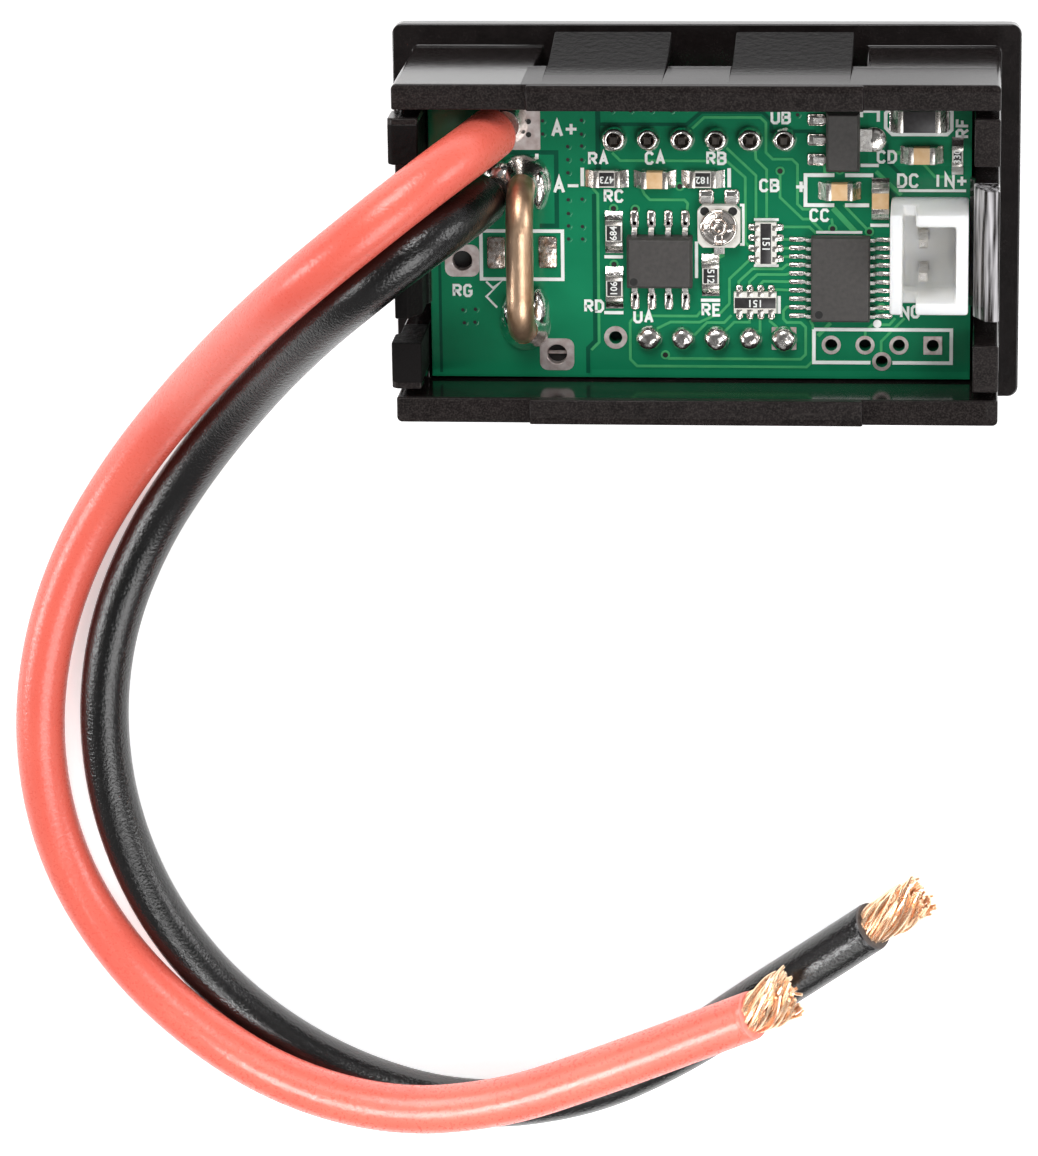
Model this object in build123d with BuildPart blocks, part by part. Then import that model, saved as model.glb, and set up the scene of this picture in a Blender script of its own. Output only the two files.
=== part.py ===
"""Digital panel meter for direct current, lying face down on its bezel.

The origin is the centre of the bezel's front face, on the surface it rests on. +Z points to the rear of the
meter, +X along its long side and +Y to its top edge. Lengths are in millimetres.
"""

import os
from math import pi, radians, tan

from build123d import *

# Housing
fit = 0.2
wall = 1.9
bezel_overhang_x = 1.6
bezel_overhang_y = 1.7
bezel_thickness = 2.0
bezel_round = 0.7
bezel_corner_land = 0.1
body_corner = 0.4
rim_rise = 6.6
corner_drop = 0.5
seat_step = 0.6
window_margin_x = 2.0
window_margin_y = 1.7
strip_height = 8.4
tongue_width = 8.9
tongue_spacing = 13.8
tongue_margin = 1.05
tongue_reach = 1.5
tongue_lift = 0.25
tongue_thickness = 1.3
tongue_root_drop = 1.0
panel_gap = 2.1
notch_width = 1.85
notch_start = 2.0
block_width = 3.5
block_margin = 0.65
ridge = 0.35
ridge_height = 3.4
nib_reach = 0.3
nib_height = 1.2
arm_bevel = 0.9

# Filter, display and its pins
filter_thickness = 1.2
display_margin_x = 1.5
display_margin_y = 1.2
display_thickness = 8.0
digit_pitch = 12.6
digit_height = 14.2
digit_width = 7.0
segment_width = 1.55
segment_gap = 0.16
segment_depth = 0.3
segment_slant = 8.0
point_diameter = 1.6
pin_pitch = 2.54
pin_columns = 6
pin_row_gap = 15.24
pin_side = 0.5
pin_hole_gap = 0.45
pin_standing = 0.85
joint_height = 0.65
joint_crown = 0.4
joint_spread = 1.0

# Circuit board
board_thickness = 1.6
header_clearance = 0.075
regulator_edge = 0.85
pad_hole = 1.6
side_pad_inset = 2.4
side_pad_y = -1.75
lower_pad_inset = 1.75
lower_pad_x = -10.8
service_hole = 0.88
service_count = 4
service_inset_x = 2.78
service_inset_y = 2.6
service_extra_inset_x = 6.6
service_extra_inset_y = 1.35
via_hole = 0.5
lead_via_place = (-13.25, 8.4)
lead_via_pitch = 1.0

# Shunt
shunt_diameter = 2.05
shunt_x = -13.2
shunt_top_y = 4.3
shunt_bottom_y = -6.7
shunt_rise = 4.1
shunt_bend = 2.9
shunt_hole_gap = 0.15
collar_width = 0.825
collar_crown = 0.2
collar_height = 1.3

# Leads
lead_diameter = 3.9
lead_floor_gap = 0.02
lead_crossing_gap = 0.33
core_diameter = 2.3
strand_length = 5.4
lead_joint_spread = 0.55
lead_joint_height = 1.5
bend_share = 0.45

# Supply header
header_y = -0.45
header_gap = 0.575
header_width = 5.75
header_length = 7.5
header_height = 7.0
header_wall = 0.9
header_floor = 1.4
header_pin_side = 0.64
header_pin_point = 0.16
header_pin_pitch = 2.5
header_pin_shift = -0.45
header_pin_height = 5.4
header_slot_width = 1.0
header_slot_depth = 4.0

# Chips: length, width and height
chip_0603 = (1.6, 0.8, 0.45)
chip_0805 = (2.0, 1.25, 0.5)
chip_1206 = (3.2, 1.6, 0.8)
capacitor_0805 = (2.0, 1.25, 0.9)
cap_band = 0.4
cap_lip = 0.03
fillet_reach = 0.5
fillet_share = 0.7
divider_y = 4.6
divider_a_x = -6.9
divider_b_x = 0.3
filter_capacitor_x = -3.3
gain_gap = 0.375
gain_a_y = 0.5
gain_b_y = -3.75
feedback_x = 0.85
feedback_gap = 0.15
supply_capacitor_gap = 2.775
supply_capacitor_shift = -0.1
output_capacitor_gap = 0.2
output_capacitor_y = 3.1
input_capacitor_shift = -0.65
input_capacitor_inset = 4.2
diode_shift = -0.85
diode_inset = 1.65
series_inset_x = 1.05
series_inset_y = 4.3

# Packages with leads
standoff = 0.1
lead_sheet = 0.2
knee_share = 0.35
toe_share = 0.5
package_bevel_share = 0.25
package_bevel_lean = 0.5
amplifier_gap = 0.4
amplifier_y = -1.6
amplifier_depth = 3.9
amplifier_height = 1.45
amplifier_end = 0.335
amplifier_reach = 1.05
amplifier_pitch = 1.27
amplifier_leads_per_side = 4
amplifier_lead_width = 0.42
controller_gap = 1.48
controller_y = -2.9
controller_depth = 4.4
controller_height = 1.0
controller_end = 0.2
controller_reach = 1.0
controller_pitch = 0.65
controller_leads_per_side = 10
controller_lead_width = 0.25
regulator_shift = 0.15
regulator_gap = 0.975
regulator_width = 2.5
regulator_height = 1.5
regulator_end = 0.525
regulator_pitch = 1.5
regulator_lead = (0.95, 0.45, 0.4)
regulator_tab = (0.9, 1.7, 0.4)

# Resistor arrays
array_gap = 0.98
array_y = -0.25
array_row_gap = 2.03
array_shift = -0.8
array_width = 1.6
array_height = 0.5
array_end = 0.175
array_count = 4
array_pitch = 0.8
array_terminal = 0.45
array_terminal_reach = 0.12

# Trimmer
trimmer_x = 1.5
trimmer_y = 1.1
trimmer_border = 0.2
trimmer_bevel = 0.4
trimmer_base_height = 0.85
rotor_diameter = 2.8
rotor_thickness = 0.4
rotor_slot_width = 0.5
rotor_slot_depth = 0.18
rotor_gap = 0.03
rivet_shank = 0.8
rivet_flange = 0.225
rivet_head_height = 0.2
trimmer_terminal = (0.8, 0.6, 0.35)
trimmer_terminal_spread = 1.9

# Package lengths that follow from their leads
amplifier_length = (
    (amplifier_leads_per_side - 1) * amplifier_pitch + amplifier_lead_width + 2 * amplifier_end
)
amplifier_span = amplifier_depth + 2 * amplifier_reach
controller_length = (
    (controller_leads_per_side - 1) * controller_pitch + controller_lead_width + 2 * controller_end
)
controller_span = controller_depth + 2 * controller_reach
regulator_length = 2 * regulator_pitch + regulator_lead[1] + 2 * regulator_end
array_length = (array_count - 1) * array_pitch + array_terminal + 2 * array_end
array_span = array_width + 2 * array_terminal_reach
trimmer_side = rotor_diameter + 2 * trimmer_border

# Places along the board from the trimmer outwards; the outermost pieces set the board's size
amplifier_x = trimmer_x - trimmer_side / 2 - amplifier_gap - amplifier_length / 2
gain_x = amplifier_x - amplifier_length / 2 - gain_gap - chip_0805[1] / 2
array_x = trimmer_x + trimmer_side / 2 + array_gap + array_span / 2
segment_array_y = array_y - array_length / 2 - array_row_gap - array_span / 2
controller_x = array_x + array_span / 2 + controller_gap + controller_span / 2
header_x = controller_x + controller_span / 2 + header_gap + header_width / 2
board_right = header_x + header_width / 2 + nib_reach - fit + header_clearance
supply_capacitor_y = controller_y + controller_length / 2 + supply_capacitor_gap + capacitor_0805[1] / 2
regulator_x = controller_x + regulator_shift
regulator_y = supply_capacitor_y + capacitor_0805[1] / 2 + regulator_gap + regulator_length / 2
board_top = regulator_y + regulator_length / 2 + regulator_edge
feedback_y = (
    trimmer_y - trimmer_side / 2 - trimmer_terminal[1] - feedback_gap - fillet_reach - chip_0805[0] / 2
)
input_capacitor_x = header_x + input_capacitor_shift
output_capacitor_x = header_x - header_width / 2 - output_capacitor_gap - capacitor_0805[1] / 2

# Sizes and levels that follow
board_width = 2 * board_right
board_height = 2 * board_top
display_width = board_width - 2 * display_margin_x
display_height = board_height - 2 * display_margin_y
cavity_width = board_width + 2 * fit
cavity_height = board_height + 2 * fit
body_width = cavity_width + 2 * wall
body_height = cavity_height + 2 * wall
bezel_width = body_width + 2 * bezel_overhang_x
bezel_height = body_height + 2 * bezel_overhang_y
bezel_corner = bezel_round + bezel_corner_land
window_width = cavity_width - 2 * window_margin_x
window_height = cavity_height - 2 * window_margin_y
window_seat = bezel_thickness - seat_step
display_front = window_seat + filter_thickness
board_front = display_front + display_thickness
board_rear = board_front + board_thickness
body_depth = board_rear + rim_rise
corner_rim = body_depth - corner_drop
strip_bottom = body_depth - strip_height
notch_floor = bezel_thickness + notch_start
middle_width = tongue_spacing + tongue_width + 2 * tongue_margin
wall_middle_x = (body_width - wall) / 2
wall_middle_y = (body_height - wall) / 2
block_edge = cavity_height / 2 - block_margin
arm_width = 2 * (block_edge - block_width - notch_width)
joint_top = pin_side + joint_crown
joint_foot = joint_top + joint_spread
collar_diameter = shunt_diameter + 2 * collar_width
lead_rest = lead_diameter / 2 + lead_floor_gap
lead_over = lead_rest + lead_diameter + lead_crossing_gap
RESTING = (Align.CENTER, Align.CENTER, Align.MIN)

# Lead routes, from the board to the free end
red_route = [
    (-15.4, 8.4, board_rear + 2.7),
    (-16.3, 8.0, board_rear + 5.3),
    (-18.0, 7.1, board_rear + 8.0),
    (-20.7, 5.3, board_rear + 10.1),
    (-24.4, 2.5, board_rear + 11.2),
    (-29.3, -1.7, board_rear + 9.4),
    (-34.9, -7.5, 14.9),
    (-40.5, -14.1, 7.4),
    (-45.7, -20.8, 3.2),
    (-50.0, -27.9, lead_rest),
    (-52.8, -35.9, lead_rest),
    (-53.6, -44.5, lead_rest),
    (-52.0, -53.2, lead_rest),
    (-47.7, -60.7, 2.7),
    (-41.3, -66.2, 5.1),
    (-33.7, -70.6, lead_over),
    (-25.0, -72.9, lead_over),
    (-16.4, -72.0, lead_over),
    (-8.6, -69.1, lead_over),
    (-2.4, -66.6, lead_over),
    (2.6, -64.5, lead_over),
]
black_route = [
    (-16.2, 3.4, board_rear + 2.7),
    (-17.1, 3.0, board_rear + 5.3),
    (-18.7, 2.2, board_rear + 7.9),
    (-21.3, 0.5, board_rear + 9.3),
    (-25.0, -2.6, board_rear + 8.4),
    (-29.3, -6.8, 15.9),
    (-34.5, -12.8, 8.9),
    (-39.8, -19.6, 4.0),
    (-44.2, -26.3, lead_rest),
    (-47.3, -33.7, lead_rest),
    (-48.4, -41.8, lead_rest),
    (-47.4, -50.1, lead_rest),
    (-44.0, -58.4, lead_rest),
    (-38.1, -65.6, lead_rest),
    (-29.7, -71.2, lead_rest),
    (-20.0, -74.0, lead_rest),
    (-10.4, -72.8, lead_rest),
    (-2.4, -68.9, lead_rest),
    (4.4, -63.9, lead_rest),
    (8.4, -61.2, lead_rest),
    (12.1, -58.6, lead_rest),
]

os.makedirs("parts", exist_ok=True)


def save(part, name):
    """Label a finished piece and write its STEP file."""
    part.label = name
    export_step(part, f"parts/{name}.step")


def pin_places():
    """Give the display's pin places; the first column of the lower row has no pin."""
    places = []
    for column in range(pin_columns):
        x = (column - (pin_columns - 1) / 2) * pin_pitch
        places.append((x, pin_row_gap / 2))
        if column > 0:
            places.append((x, -pin_row_gap / 2))
    return places


empty_pin_place = (-(pin_columns - 1) / 2 * pin_pitch, -pin_row_gap / 2)


# Housing: bezel, body tube, snap tongues and clip arms in one moulding
with BuildPart() as housing:
    with BuildSketch():
        RectangleRounded(bezel_width, bezel_height, bezel_corner)
    extrude(amount=bezel_thickness)
    fillet(housing.faces().sort_by(Axis.Z)[0].edges(), bezel_round)
    with BuildSketch(Plane.XY.offset(bezel_thickness)):
        RectangleRounded(body_width, body_height, body_corner)
    extrude(amount=body_depth - bezel_thickness)
    with BuildSketch(Plane.XY.offset(window_seat)):
        Rectangle(cavity_width, cavity_height)
    extrude(amount=body_depth - window_seat, mode=Mode.SUBTRACT)
    with BuildSketch():
        Rectangle(window_width, window_height)
    extrude(amount=window_seat, mode=Mode.SUBTRACT)
    # The rim stands higher along the middle of the long walls than at the corners.
    with BuildSketch(Plane.XY.offset(corner_rim)):
        Rectangle(body_width, body_height)
        Rectangle(middle_width, body_height, mode=Mode.SUBTRACT)
    extrude(amount=corner_drop, mode=Mode.SUBTRACT)
    # Openings in the long walls between the bezel and the strip that carries the tongues.
    with Locations((0, wall_middle_y, bezel_thickness), (0, -wall_middle_y, bezel_thickness)):
        Box(middle_width, wall, strip_bottom - bezel_thickness, align=RESTING, mode=Mode.SUBTRACT)
    # Snap tongues lean outwards from the strip and end one panel thickness behind the bezel.
    for tongue_x in (-tongue_spacing / 2, tongue_spacing / 2):
        with BuildSketch(Plane.YZ.offset(tongue_x)):
            with BuildLine():
                Polyline(
                    (body_height / 2, body_depth - tongue_root_drop),
                    (body_height / 2 + tongue_lift, strip_bottom),
                    (body_height / 2 + tongue_reach, bezel_thickness + panel_gap),
                    (body_height / 2 + tongue_reach - tongue_thickness, bezel_thickness + panel_gap),
                    (body_height / 2 + tongue_lift - tongue_thickness, strip_bottom),
                    (body_height / 2 + tongue_lift - tongue_thickness, strip_bottom + wall),
                    (body_height / 2 - wall / 2, body_depth - tongue_root_drop),
                    close=True,
                )
            make_face()
            mirror(about=Plane.YZ)
        extrude(amount=tongue_width / 2, both=True)
    # Slots part the short walls into a springy clip arm and two blocks.
    slot_height = corner_rim - notch_floor
    for side in (-1, 1):
        inner_y = arm_width / 2 + notch_width / 2
        outer_y = block_edge + block_margin / 2
        for sign in (-1, 1):
            with Locations((side * wall_middle_x, sign * inner_y, notch_floor)):
                Box(wall, notch_width, slot_height, align=RESTING, mode=Mode.SUBTRACT)
            with Locations((side * wall_middle_x, sign * outer_y, board_rear)):
                Box(wall, block_margin, corner_rim - board_rear, align=RESTING, mode=Mode.SUBTRACT)
        # A nib on each arm holds the board down, and a bevel leads the board in.
        with BuildSketch(Plane.XZ):
            with BuildLine():
                Polyline(
                    (side * cavity_width / 2, board_rear),
                    (side * (cavity_width / 2 - nib_reach), board_rear),
                    (side * (cavity_width / 2 - nib_reach), board_rear + nib_height / 2),
                    (side * cavity_width / 2, board_rear + nib_height),
                    close=True,
                )
            make_face()
        extrude(amount=arm_width / 2, both=True)
        with BuildSketch(Plane.XZ):
            with BuildLine():
                Polyline(
                    (side * cavity_width / 2, corner_rim),
                    (side * (cavity_width / 2 + arm_bevel), corner_rim),
                    (side * cavity_width / 2, corner_rim - 2 * arm_bevel),
                    close=True,
                )
            make_face()
        extrude(amount=arm_width / 2, both=True, mode=Mode.SUBTRACT)
    # Ridges on the outer faces of the left blocks.
    with BuildSketch(Plane.XZ):
        with BuildLine():
            Polyline(
                (-body_width / 2, corner_rim),
                (-body_width / 2 - ridge, corner_rim - ridge),
                (-body_width / 2 - ridge, corner_rim - ridge_height + ridge),
                (-body_width / 2, corner_rim - ridge_height),
                close=True,
            )
        make_face()
    extrude(amount=block_edge, both=True)
    with Locations((-body_width / 2, 0, corner_rim - ridge_height)):
        Box(
            2 * ridge,
            arm_width + 2 * notch_width,
            ridge_height,
            align=(Align.MAX, Align.CENTER, Align.MIN),
            mode=Mode.SUBTRACT,
        )
save(housing.part, "housing")


# Filter: the tinted plate behind the window
with BuildPart() as window_filter:
    with Locations((0, 0, window_seat)):
        Box(board_width, board_height, filter_thickness, align=RESTING)
save(window_filter.part, "window_filter")


def segment_outlines(centre_x):
    """Outline the seven bars of one digit, leaning to the reader's right, as lists of points."""
    half_w = digit_width / 2 - segment_width / 2
    half_h = digit_height / 2 - segment_width / 2
    thick = segment_width / 2
    lean = tan(radians(segment_slant))
    bars = [
        ((-half_w, half_h), (half_w, half_h)),
        ((-half_w, 0), (half_w, 0)),
        ((-half_w, -half_h), (half_w, -half_h)),
        ((-half_w, 0), (-half_w, half_h)),
        ((half_w, 0), (half_w, half_h)),
        ((-half_w, -half_h), (-half_w, 0)),
        ((half_w, -half_h), (half_w, 0)),
    ]
    outlines = []
    for (x0, y0), (x1, y1) in bars:
        along = (1, 0) if y0 == y1 else (0, 1)
        across = (along[1], along[0])
        points = []
        for end, sign in (((x0, y0), 1), ((x1, y1), -1)):
            tip = (end[0] + sign * along[0] * segment_gap, end[1] + sign * along[1] * segment_gap)
            shoulder = (tip[0] + sign * along[0] * thick, tip[1] + sign * along[1] * thick)
            edge = [
                (shoulder[0] - sign * across[0] * thick, shoulder[1] - sign * across[1] * thick),
                tip,
                (shoulder[0] + sign * across[0] * thick, shoulder[1] + sign * across[1] * thick),
            ]
            points.extend(edge)
        outlines.append([(centre_x + x - y * lean, y) for x, y in points])
    return outlines


def point_place(centre_x):
    """Place one digit's decimal point at the reader's lower right."""
    drop = digit_height / 2 - point_diameter / 2
    lean = drop * tan(radians(segment_slant))
    return (centre_x - digit_width / 2 - point_diameter + lean, -drop)


def digit_solids(centre_x):
    """Build one digit: seven bars and its decimal point."""
    with BuildPart() as digit:
        with BuildSketch(Plane.XY.offset(display_front)):
            for outline in segment_outlines(centre_x):
                with BuildLine():
                    Polyline(*outline, close=True)
                make_face()
            with Locations(point_place(centre_x)):
                Circle(point_diameter / 2)
        extrude(amount=segment_depth)
    return digit.part


digit_centres = {"left_digit": digit_pitch, "middle_digit": 0.0, "right_digit": -digit_pitch}

# Display case, with pockets for the bars of its digits
with BuildPart() as display_case:
    with Locations((0, 0, display_front)):
        Box(display_width, display_height, display_thickness, align=RESTING)
    with BuildSketch(Plane.XY.offset(display_front)):
        for centre in digit_centres.values():
            for outline in segment_outlines(centre):
                with BuildLine():
                    Polyline(*outline, close=True)
                make_face()
            with Locations(point_place(centre)):
                Circle(point_diameter / 2)
    extrude(amount=segment_depth, mode=Mode.SUBTRACT)
save(display_case.part, "display_case")

for digit_name, centre in digit_centres.items():
    save(digit_solids(centre), digit_name)

# Display pins and their solder joints
with BuildPart() as display_pins:
    with Locations(*[(x, y, board_front) for x, y in pin_places()]):
        Box(pin_side, pin_side, board_thickness + pin_standing, align=RESTING)
save(display_pins.part, "display_pins")

with BuildPart() as display_solder:
    with Locations(*[(x, y, board_rear) for x, y in pin_places()]):
        Cone(joint_foot / 2, joint_top / 2, joint_height, align=RESTING)
        Box(pin_side, pin_side, joint_height, align=RESTING, mode=Mode.SUBTRACT)
save(display_solder.part, "display_solder")

# Circuit board with its drilled holes
lead_pad_places = [
    (side_pad_inset - board_right, side_pad_y),
    (lower_pad_x, lower_pad_inset - board_top),
]
service_places = [
    (board_right - service_inset_x - i * pin_pitch, service_inset_y - board_top) for i in range(service_count)
]
service_extra = (board_right - service_extra_inset_x, service_extra_inset_y - board_top)
header_pin_places = [
    (header_x + header_pin_shift, header_y + sign * header_pin_pitch / 2) for sign in (-1, 1)
]
shunt_places = [(shunt_x, shunt_top_y), (shunt_x, shunt_bottom_y)]
with BuildPart() as circuit_board:
    with Locations((0, 0, board_front)):
        Box(board_width, board_height, board_thickness, align=RESTING)
    with BuildSketch(Plane.XY.offset(board_front)):
        with Locations(*pin_places(), empty_pin_place):
            Circle((pin_side + pin_hole_gap) / 2)
        with Locations(*lead_pad_places):
            Circle(pad_hole / 2)
        with Locations(*service_places, service_extra):
            Circle(service_hole / 2)
        with Locations(*header_pin_places):
            Circle(header_pin_side)
        with Locations(*shunt_places):
            Circle(shunt_diameter / 2 + shunt_hole_gap)
        with Locations(lead_via_place):
            with GridLocations(lead_via_pitch, lead_via_pitch, 2, 2):
                Circle(via_hole / 2)
    extrude(amount=board_thickness, mode=Mode.SUBTRACT)
save(circuit_board.part, "circuit_board")

# Shunt: a bare wire bent into a low arch, with a solder collar round each leg
with BuildPart() as shunt_wire:
    with BuildLine():
        FilletPolyline(
            (shunt_x, shunt_top_y, board_front),
            (shunt_x, shunt_top_y, board_rear + shunt_rise),
            (shunt_x, shunt_bottom_y, board_rear + shunt_rise),
            (shunt_x, shunt_bottom_y, board_front),
            radius=shunt_bend,
        )
    with BuildSketch(Plane.XY.offset(board_front)):
        with Locations(shunt_places[0]):
            Circle(shunt_diameter / 2)
    sweep()
save(shunt_wire.part, "shunt_wire")

collar = (collar_diameter / 2, shunt_diameter / 2 + collar_crown, collar_height)
with BuildPart() as shunt_solder:
    with Locations(*[(x, y, board_rear) for x, y in shunt_places]):
        Cone(*collar, align=RESTING)
        Cylinder(shunt_diameter / 2, collar_height, align=RESTING, mode=Mode.SUBTRACT)
save(shunt_solder.part, "shunt_solder")


def lead_pieces(colour, route):
    """Build one lead: its insulated tube, the strands at its free end and its joint to the board.

    The tube's path is straight runs joined by arcs as large as the runs allow.
    """
    points = [Vector(*point) for point in route]
    runs = [b - a for a, b in zip(points, points[1:])]
    radii = []
    for before, after in zip(runs, runs[1:]):
        half_turn = radians(before.get_angle(after) / 2)
        radii.append(bend_share * min(before.length, after.length) / tan(half_turn))
    start = Plane(points[0], z_dir=runs[0])
    finish = Plane(points[-1], z_dir=runs[-1])
    with BuildPart() as tube:
        with BuildLine() as path:
            FilletPolyline(*points, radius=radii)
        with BuildSketch(start):
            Circle(lead_diameter / 2)
        sweep()
    length = sum(edge.length for edge in path.edges())
    section = pi * lead_diameter**2 / 4
    print(f"{colour} lead: length {length:.1f}, volume ratio {tube.part.volume / (section * length):.4f}")
    print(f"{colour} lead radii: " + " ".join(f"{radius:.1f}" for radius in radii))
    save(tube.part, f"{colour}_lead")
    with BuildPart() as strands:
        with BuildSketch(finish):
            Circle(core_diameter / 2)
        extrude(amount=strand_length)
    save(strands.part, f"{colour}_strands")
    # The bared, tinned end runs down into a mound of solder on the board.
    drop = points[0].Z - board_rear
    foot = points[0] - runs[0] * (drop / runs[0].Z)
    with BuildPart() as joint:
        with BuildSketch(start):
            Circle(core_diameter / 2)
        extrude(amount=-2 * drop)
        with Locations((foot.X, foot.Y, board_rear)):
            Cone(core_diameter / 2 + lead_joint_spread, core_diameter / 2, lead_joint_height, align=RESTING)
        with Locations(*[(x, y, board_rear) for x, y in shunt_places]):
            Cone(*collar, align=RESTING, mode=Mode.SUBTRACT)
        split(bisect_by=Plane.XY.offset(board_rear), keep=Keep.TOP)
    save(joint.part, f"{colour}_joint")


lead_pieces("red", red_route)
lead_pieces("black", black_route)

# Supply header: open shell with two posts
with BuildPart() as header_shell:
    with Locations((header_x, header_y, board_rear)):
        Box(header_width, header_length, header_height, align=RESTING)
    with Locations((header_x, header_y, board_rear + header_floor)):
        Box(
            header_width - 2 * header_wall,
            header_length - 2 * header_wall,
            header_height - header_floor,
            align=RESTING,
            mode=Mode.SUBTRACT,
        )
    slot_x = header_x - header_width / 2 + header_wall + header_slot_width / 2
    with Locations((slot_x, header_y, board_rear + header_height)):
        Box(
            header_slot_width,
            header_length,
            header_slot_depth,
            align=(Align.CENTER, Align.CENTER, Align.MAX),
            mode=Mode.SUBTRACT,
        )
    with Locations(*[(x, y, board_rear) for x, y in header_pin_places]):
        Box(header_pin_side, header_pin_side, header_floor, align=RESTING, mode=Mode.SUBTRACT)
save(header_shell.part, "header_shell")

with BuildPart() as header_pins:
    with Locations(*[(x, y, board_front) for x, y in header_pin_places]):
        Box(header_pin_side, header_pin_side, board_thickness + header_pin_height, align=RESTING)
    chamfer(header_pins.faces().filter_by(Axis.Z).group_by(Axis.Z)[-1].edges(), header_pin_point)
save(header_pins.part, "header_pins")


def along_plane(place, turned):
    """Give the upright plane through a chip's middle whose local x runs along the chip."""
    x_dir = (0, 1, 0) if turned else (1, 0, 0)
    z_dir = (1, 0, 0) if turned else (0, -1, 0)
    return Plane(origin=(place[0], place[1], board_rear), x_dir=x_dir, z_dir=z_dir)


def chip(size, place, turned):
    """Build one chip: a brick with a slightly proud metal cap round each end."""
    length, width, height = size
    with BuildPart() as piece:
        with BuildSketch(along_plane(place, turned)):
            with Locations((0, height / 2)):
                Rectangle(length, height)
        extrude(amount=width / 2, both=True)
        with BuildSketch(along_plane(place, turned)):
            with Locations(((length - cap_band) / 2, 0), ((cap_band - length) / 2, 0)):
                Rectangle(cap_band, height + cap_lip, align=(Align.CENTER, Align.MIN))
        extrude(amount=width / 2 + cap_lip, both=True)
    return piece.part


# Chips: name, size, place and whether the long side runs along Y
chips = [
    ("divider_resistor_a", chip_0805, (divider_a_x, divider_y), False),
    ("divider_resistor_b", chip_0805, (divider_b_x, divider_y), False),
    ("gain_resistor_a", chip_0805, (gain_x, gain_a_y), True),
    ("gain_resistor_b", chip_0805, (gain_x, gain_b_y), True),
    ("feedback_resistor", chip_0805, (feedback_x, feedback_y), True),
    ("series_resistor", chip_0603, (board_right - series_inset_x, board_top - series_inset_y), True),
    ("supply_diode", chip_1206, (header_x + diode_shift, board_top - diode_inset), False),
    ("filter_capacitor", capacitor_0805, (filter_capacitor_x, divider_y), False),
    ("supply_capacitor", capacitor_0805, (controller_x + supply_capacitor_shift, supply_capacitor_y), False),
    ("output_capacitor", capacitor_0805, (output_capacitor_x, output_capacitor_y), True),
    ("input_capacitor", capacitor_0805, (input_capacitor_x, board_top - input_capacitor_inset), False),
]
for chip_name, size, place, turned in chips:
    save(chip(size, place, turned), chip_name)

with BuildPart() as chip_solder:
    for chip_name, size, place, turned in chips:
        with BuildSketch(along_plane(place, turned)):
            with BuildLine():
                Polyline(
                    (size[0] / 2, 0),
                    (size[0] / 2 + fillet_reach, 0),
                    (size[0] / 2, size[2] * fillet_share),
                    close=True,
                )
            make_face()
            mirror(about=Plane.YZ)
        extrude(amount=size[1] / 2, both=True)
save(chip_solder.part, "chip_solder")


def resistor_array(place, turned):
    """Build one array of four resistors, with four rounded terminals along each long side."""
    with BuildPart() as piece:
        with BuildSketch(along_plane(place, turned)):
            Rectangle(array_length, array_height, align=(Align.CENTER, Align.MIN))
        extrude(amount=array_width / 2, both=True)
        with BuildSketch(along_plane(place, turned)):
            with GridLocations(array_pitch, 0, array_count, 1):
                Rectangle(array_terminal, array_height + cap_lip, align=(Align.CENTER, Align.MIN))
        extrude(amount=array_span / 2, both=True)
    return piece.part


save(resistor_array((array_x, array_y), True), "digit_resistor_array")
save(resistor_array((array_x + array_shift, segment_array_y), False), "segment_resistor_array")


def package_body(size, place, lift):
    """Build a moulded package with a bevelled top, standing a little above the board."""
    bevel = size[2] * package_bevel_share
    with BuildPart() as body:
        with Locations((place[0], place[1], board_rear + lift)):
            Box(*size, align=RESTING)
        chamfer(body.faces().sort_by(Axis.Z)[-1].edges(), bevel, bevel * package_bevel_lean)
    return body.part


def gull_leads(half_body, half_span, sheet_top, width, places):
    """Build gull-wing leads on both sides of a package.

    Each place is the plane's origin and the direction in which its leads leave the body.
    """
    knee = half_body + (half_span - half_body) * knee_share
    toe = half_body + (half_span - half_body) * toe_share
    with BuildPart() as leads:
        for origin, outwards, across in places:
            with BuildSketch(Plane(origin=origin, x_dir=outwards, z_dir=across)):
                with BuildLine():
                    Polyline(
                        (half_body, sheet_top),
                        (knee, sheet_top),
                        (toe, lead_sheet),
                        (half_span, lead_sheet),
                        (half_span, 0),
                        (toe - lead_sheet, 0),
                        (knee - lead_sheet, sheet_top - lead_sheet),
                        (half_body, sheet_top - lead_sheet),
                        close=True,
                    )
                make_face()
                mirror(about=Plane.YZ)
            extrude(amount=width / 2, both=True)
    return leads.part


amplifier_size = (amplifier_length, amplifier_depth, amplifier_height)
save(package_body(amplifier_size, (amplifier_x, amplifier_y), standoff), "amplifier_body")
amplifier_middle = (amplifier_leads_per_side - 1) / 2
amplifier_xs = [
    amplifier_x + (i - amplifier_middle) * amplifier_pitch for i in range(amplifier_leads_per_side)
]
amplifier_rows = [((x, amplifier_y, board_rear), (0, 1, 0), (1, 0, 0)) for x in amplifier_xs]
amplifier_shoulder = standoff + amplifier_height / 2
save(
    gull_leads(
        amplifier_depth / 2, amplifier_span / 2, amplifier_shoulder, amplifier_lead_width, amplifier_rows
    ),
    "amplifier_leads",
)

controller_size = (controller_depth, controller_length, controller_height)
save(package_body(controller_size, (controller_x, controller_y), standoff), "controller_body")
controller_middle = (controller_leads_per_side - 1) / 2
controller_ys = [
    controller_y + (i - controller_middle) * controller_pitch for i in range(controller_leads_per_side)
]
controller_rows = [((controller_x, y, board_rear), (1, 0, 0), (0, -1, 0)) for y in controller_ys]
controller_shoulder = standoff + controller_height / 2
save(
    gull_leads(
        controller_depth / 2, controller_span / 2, controller_shoulder, controller_lead_width, controller_rows
    ),
    "controller_leads",
)

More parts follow.
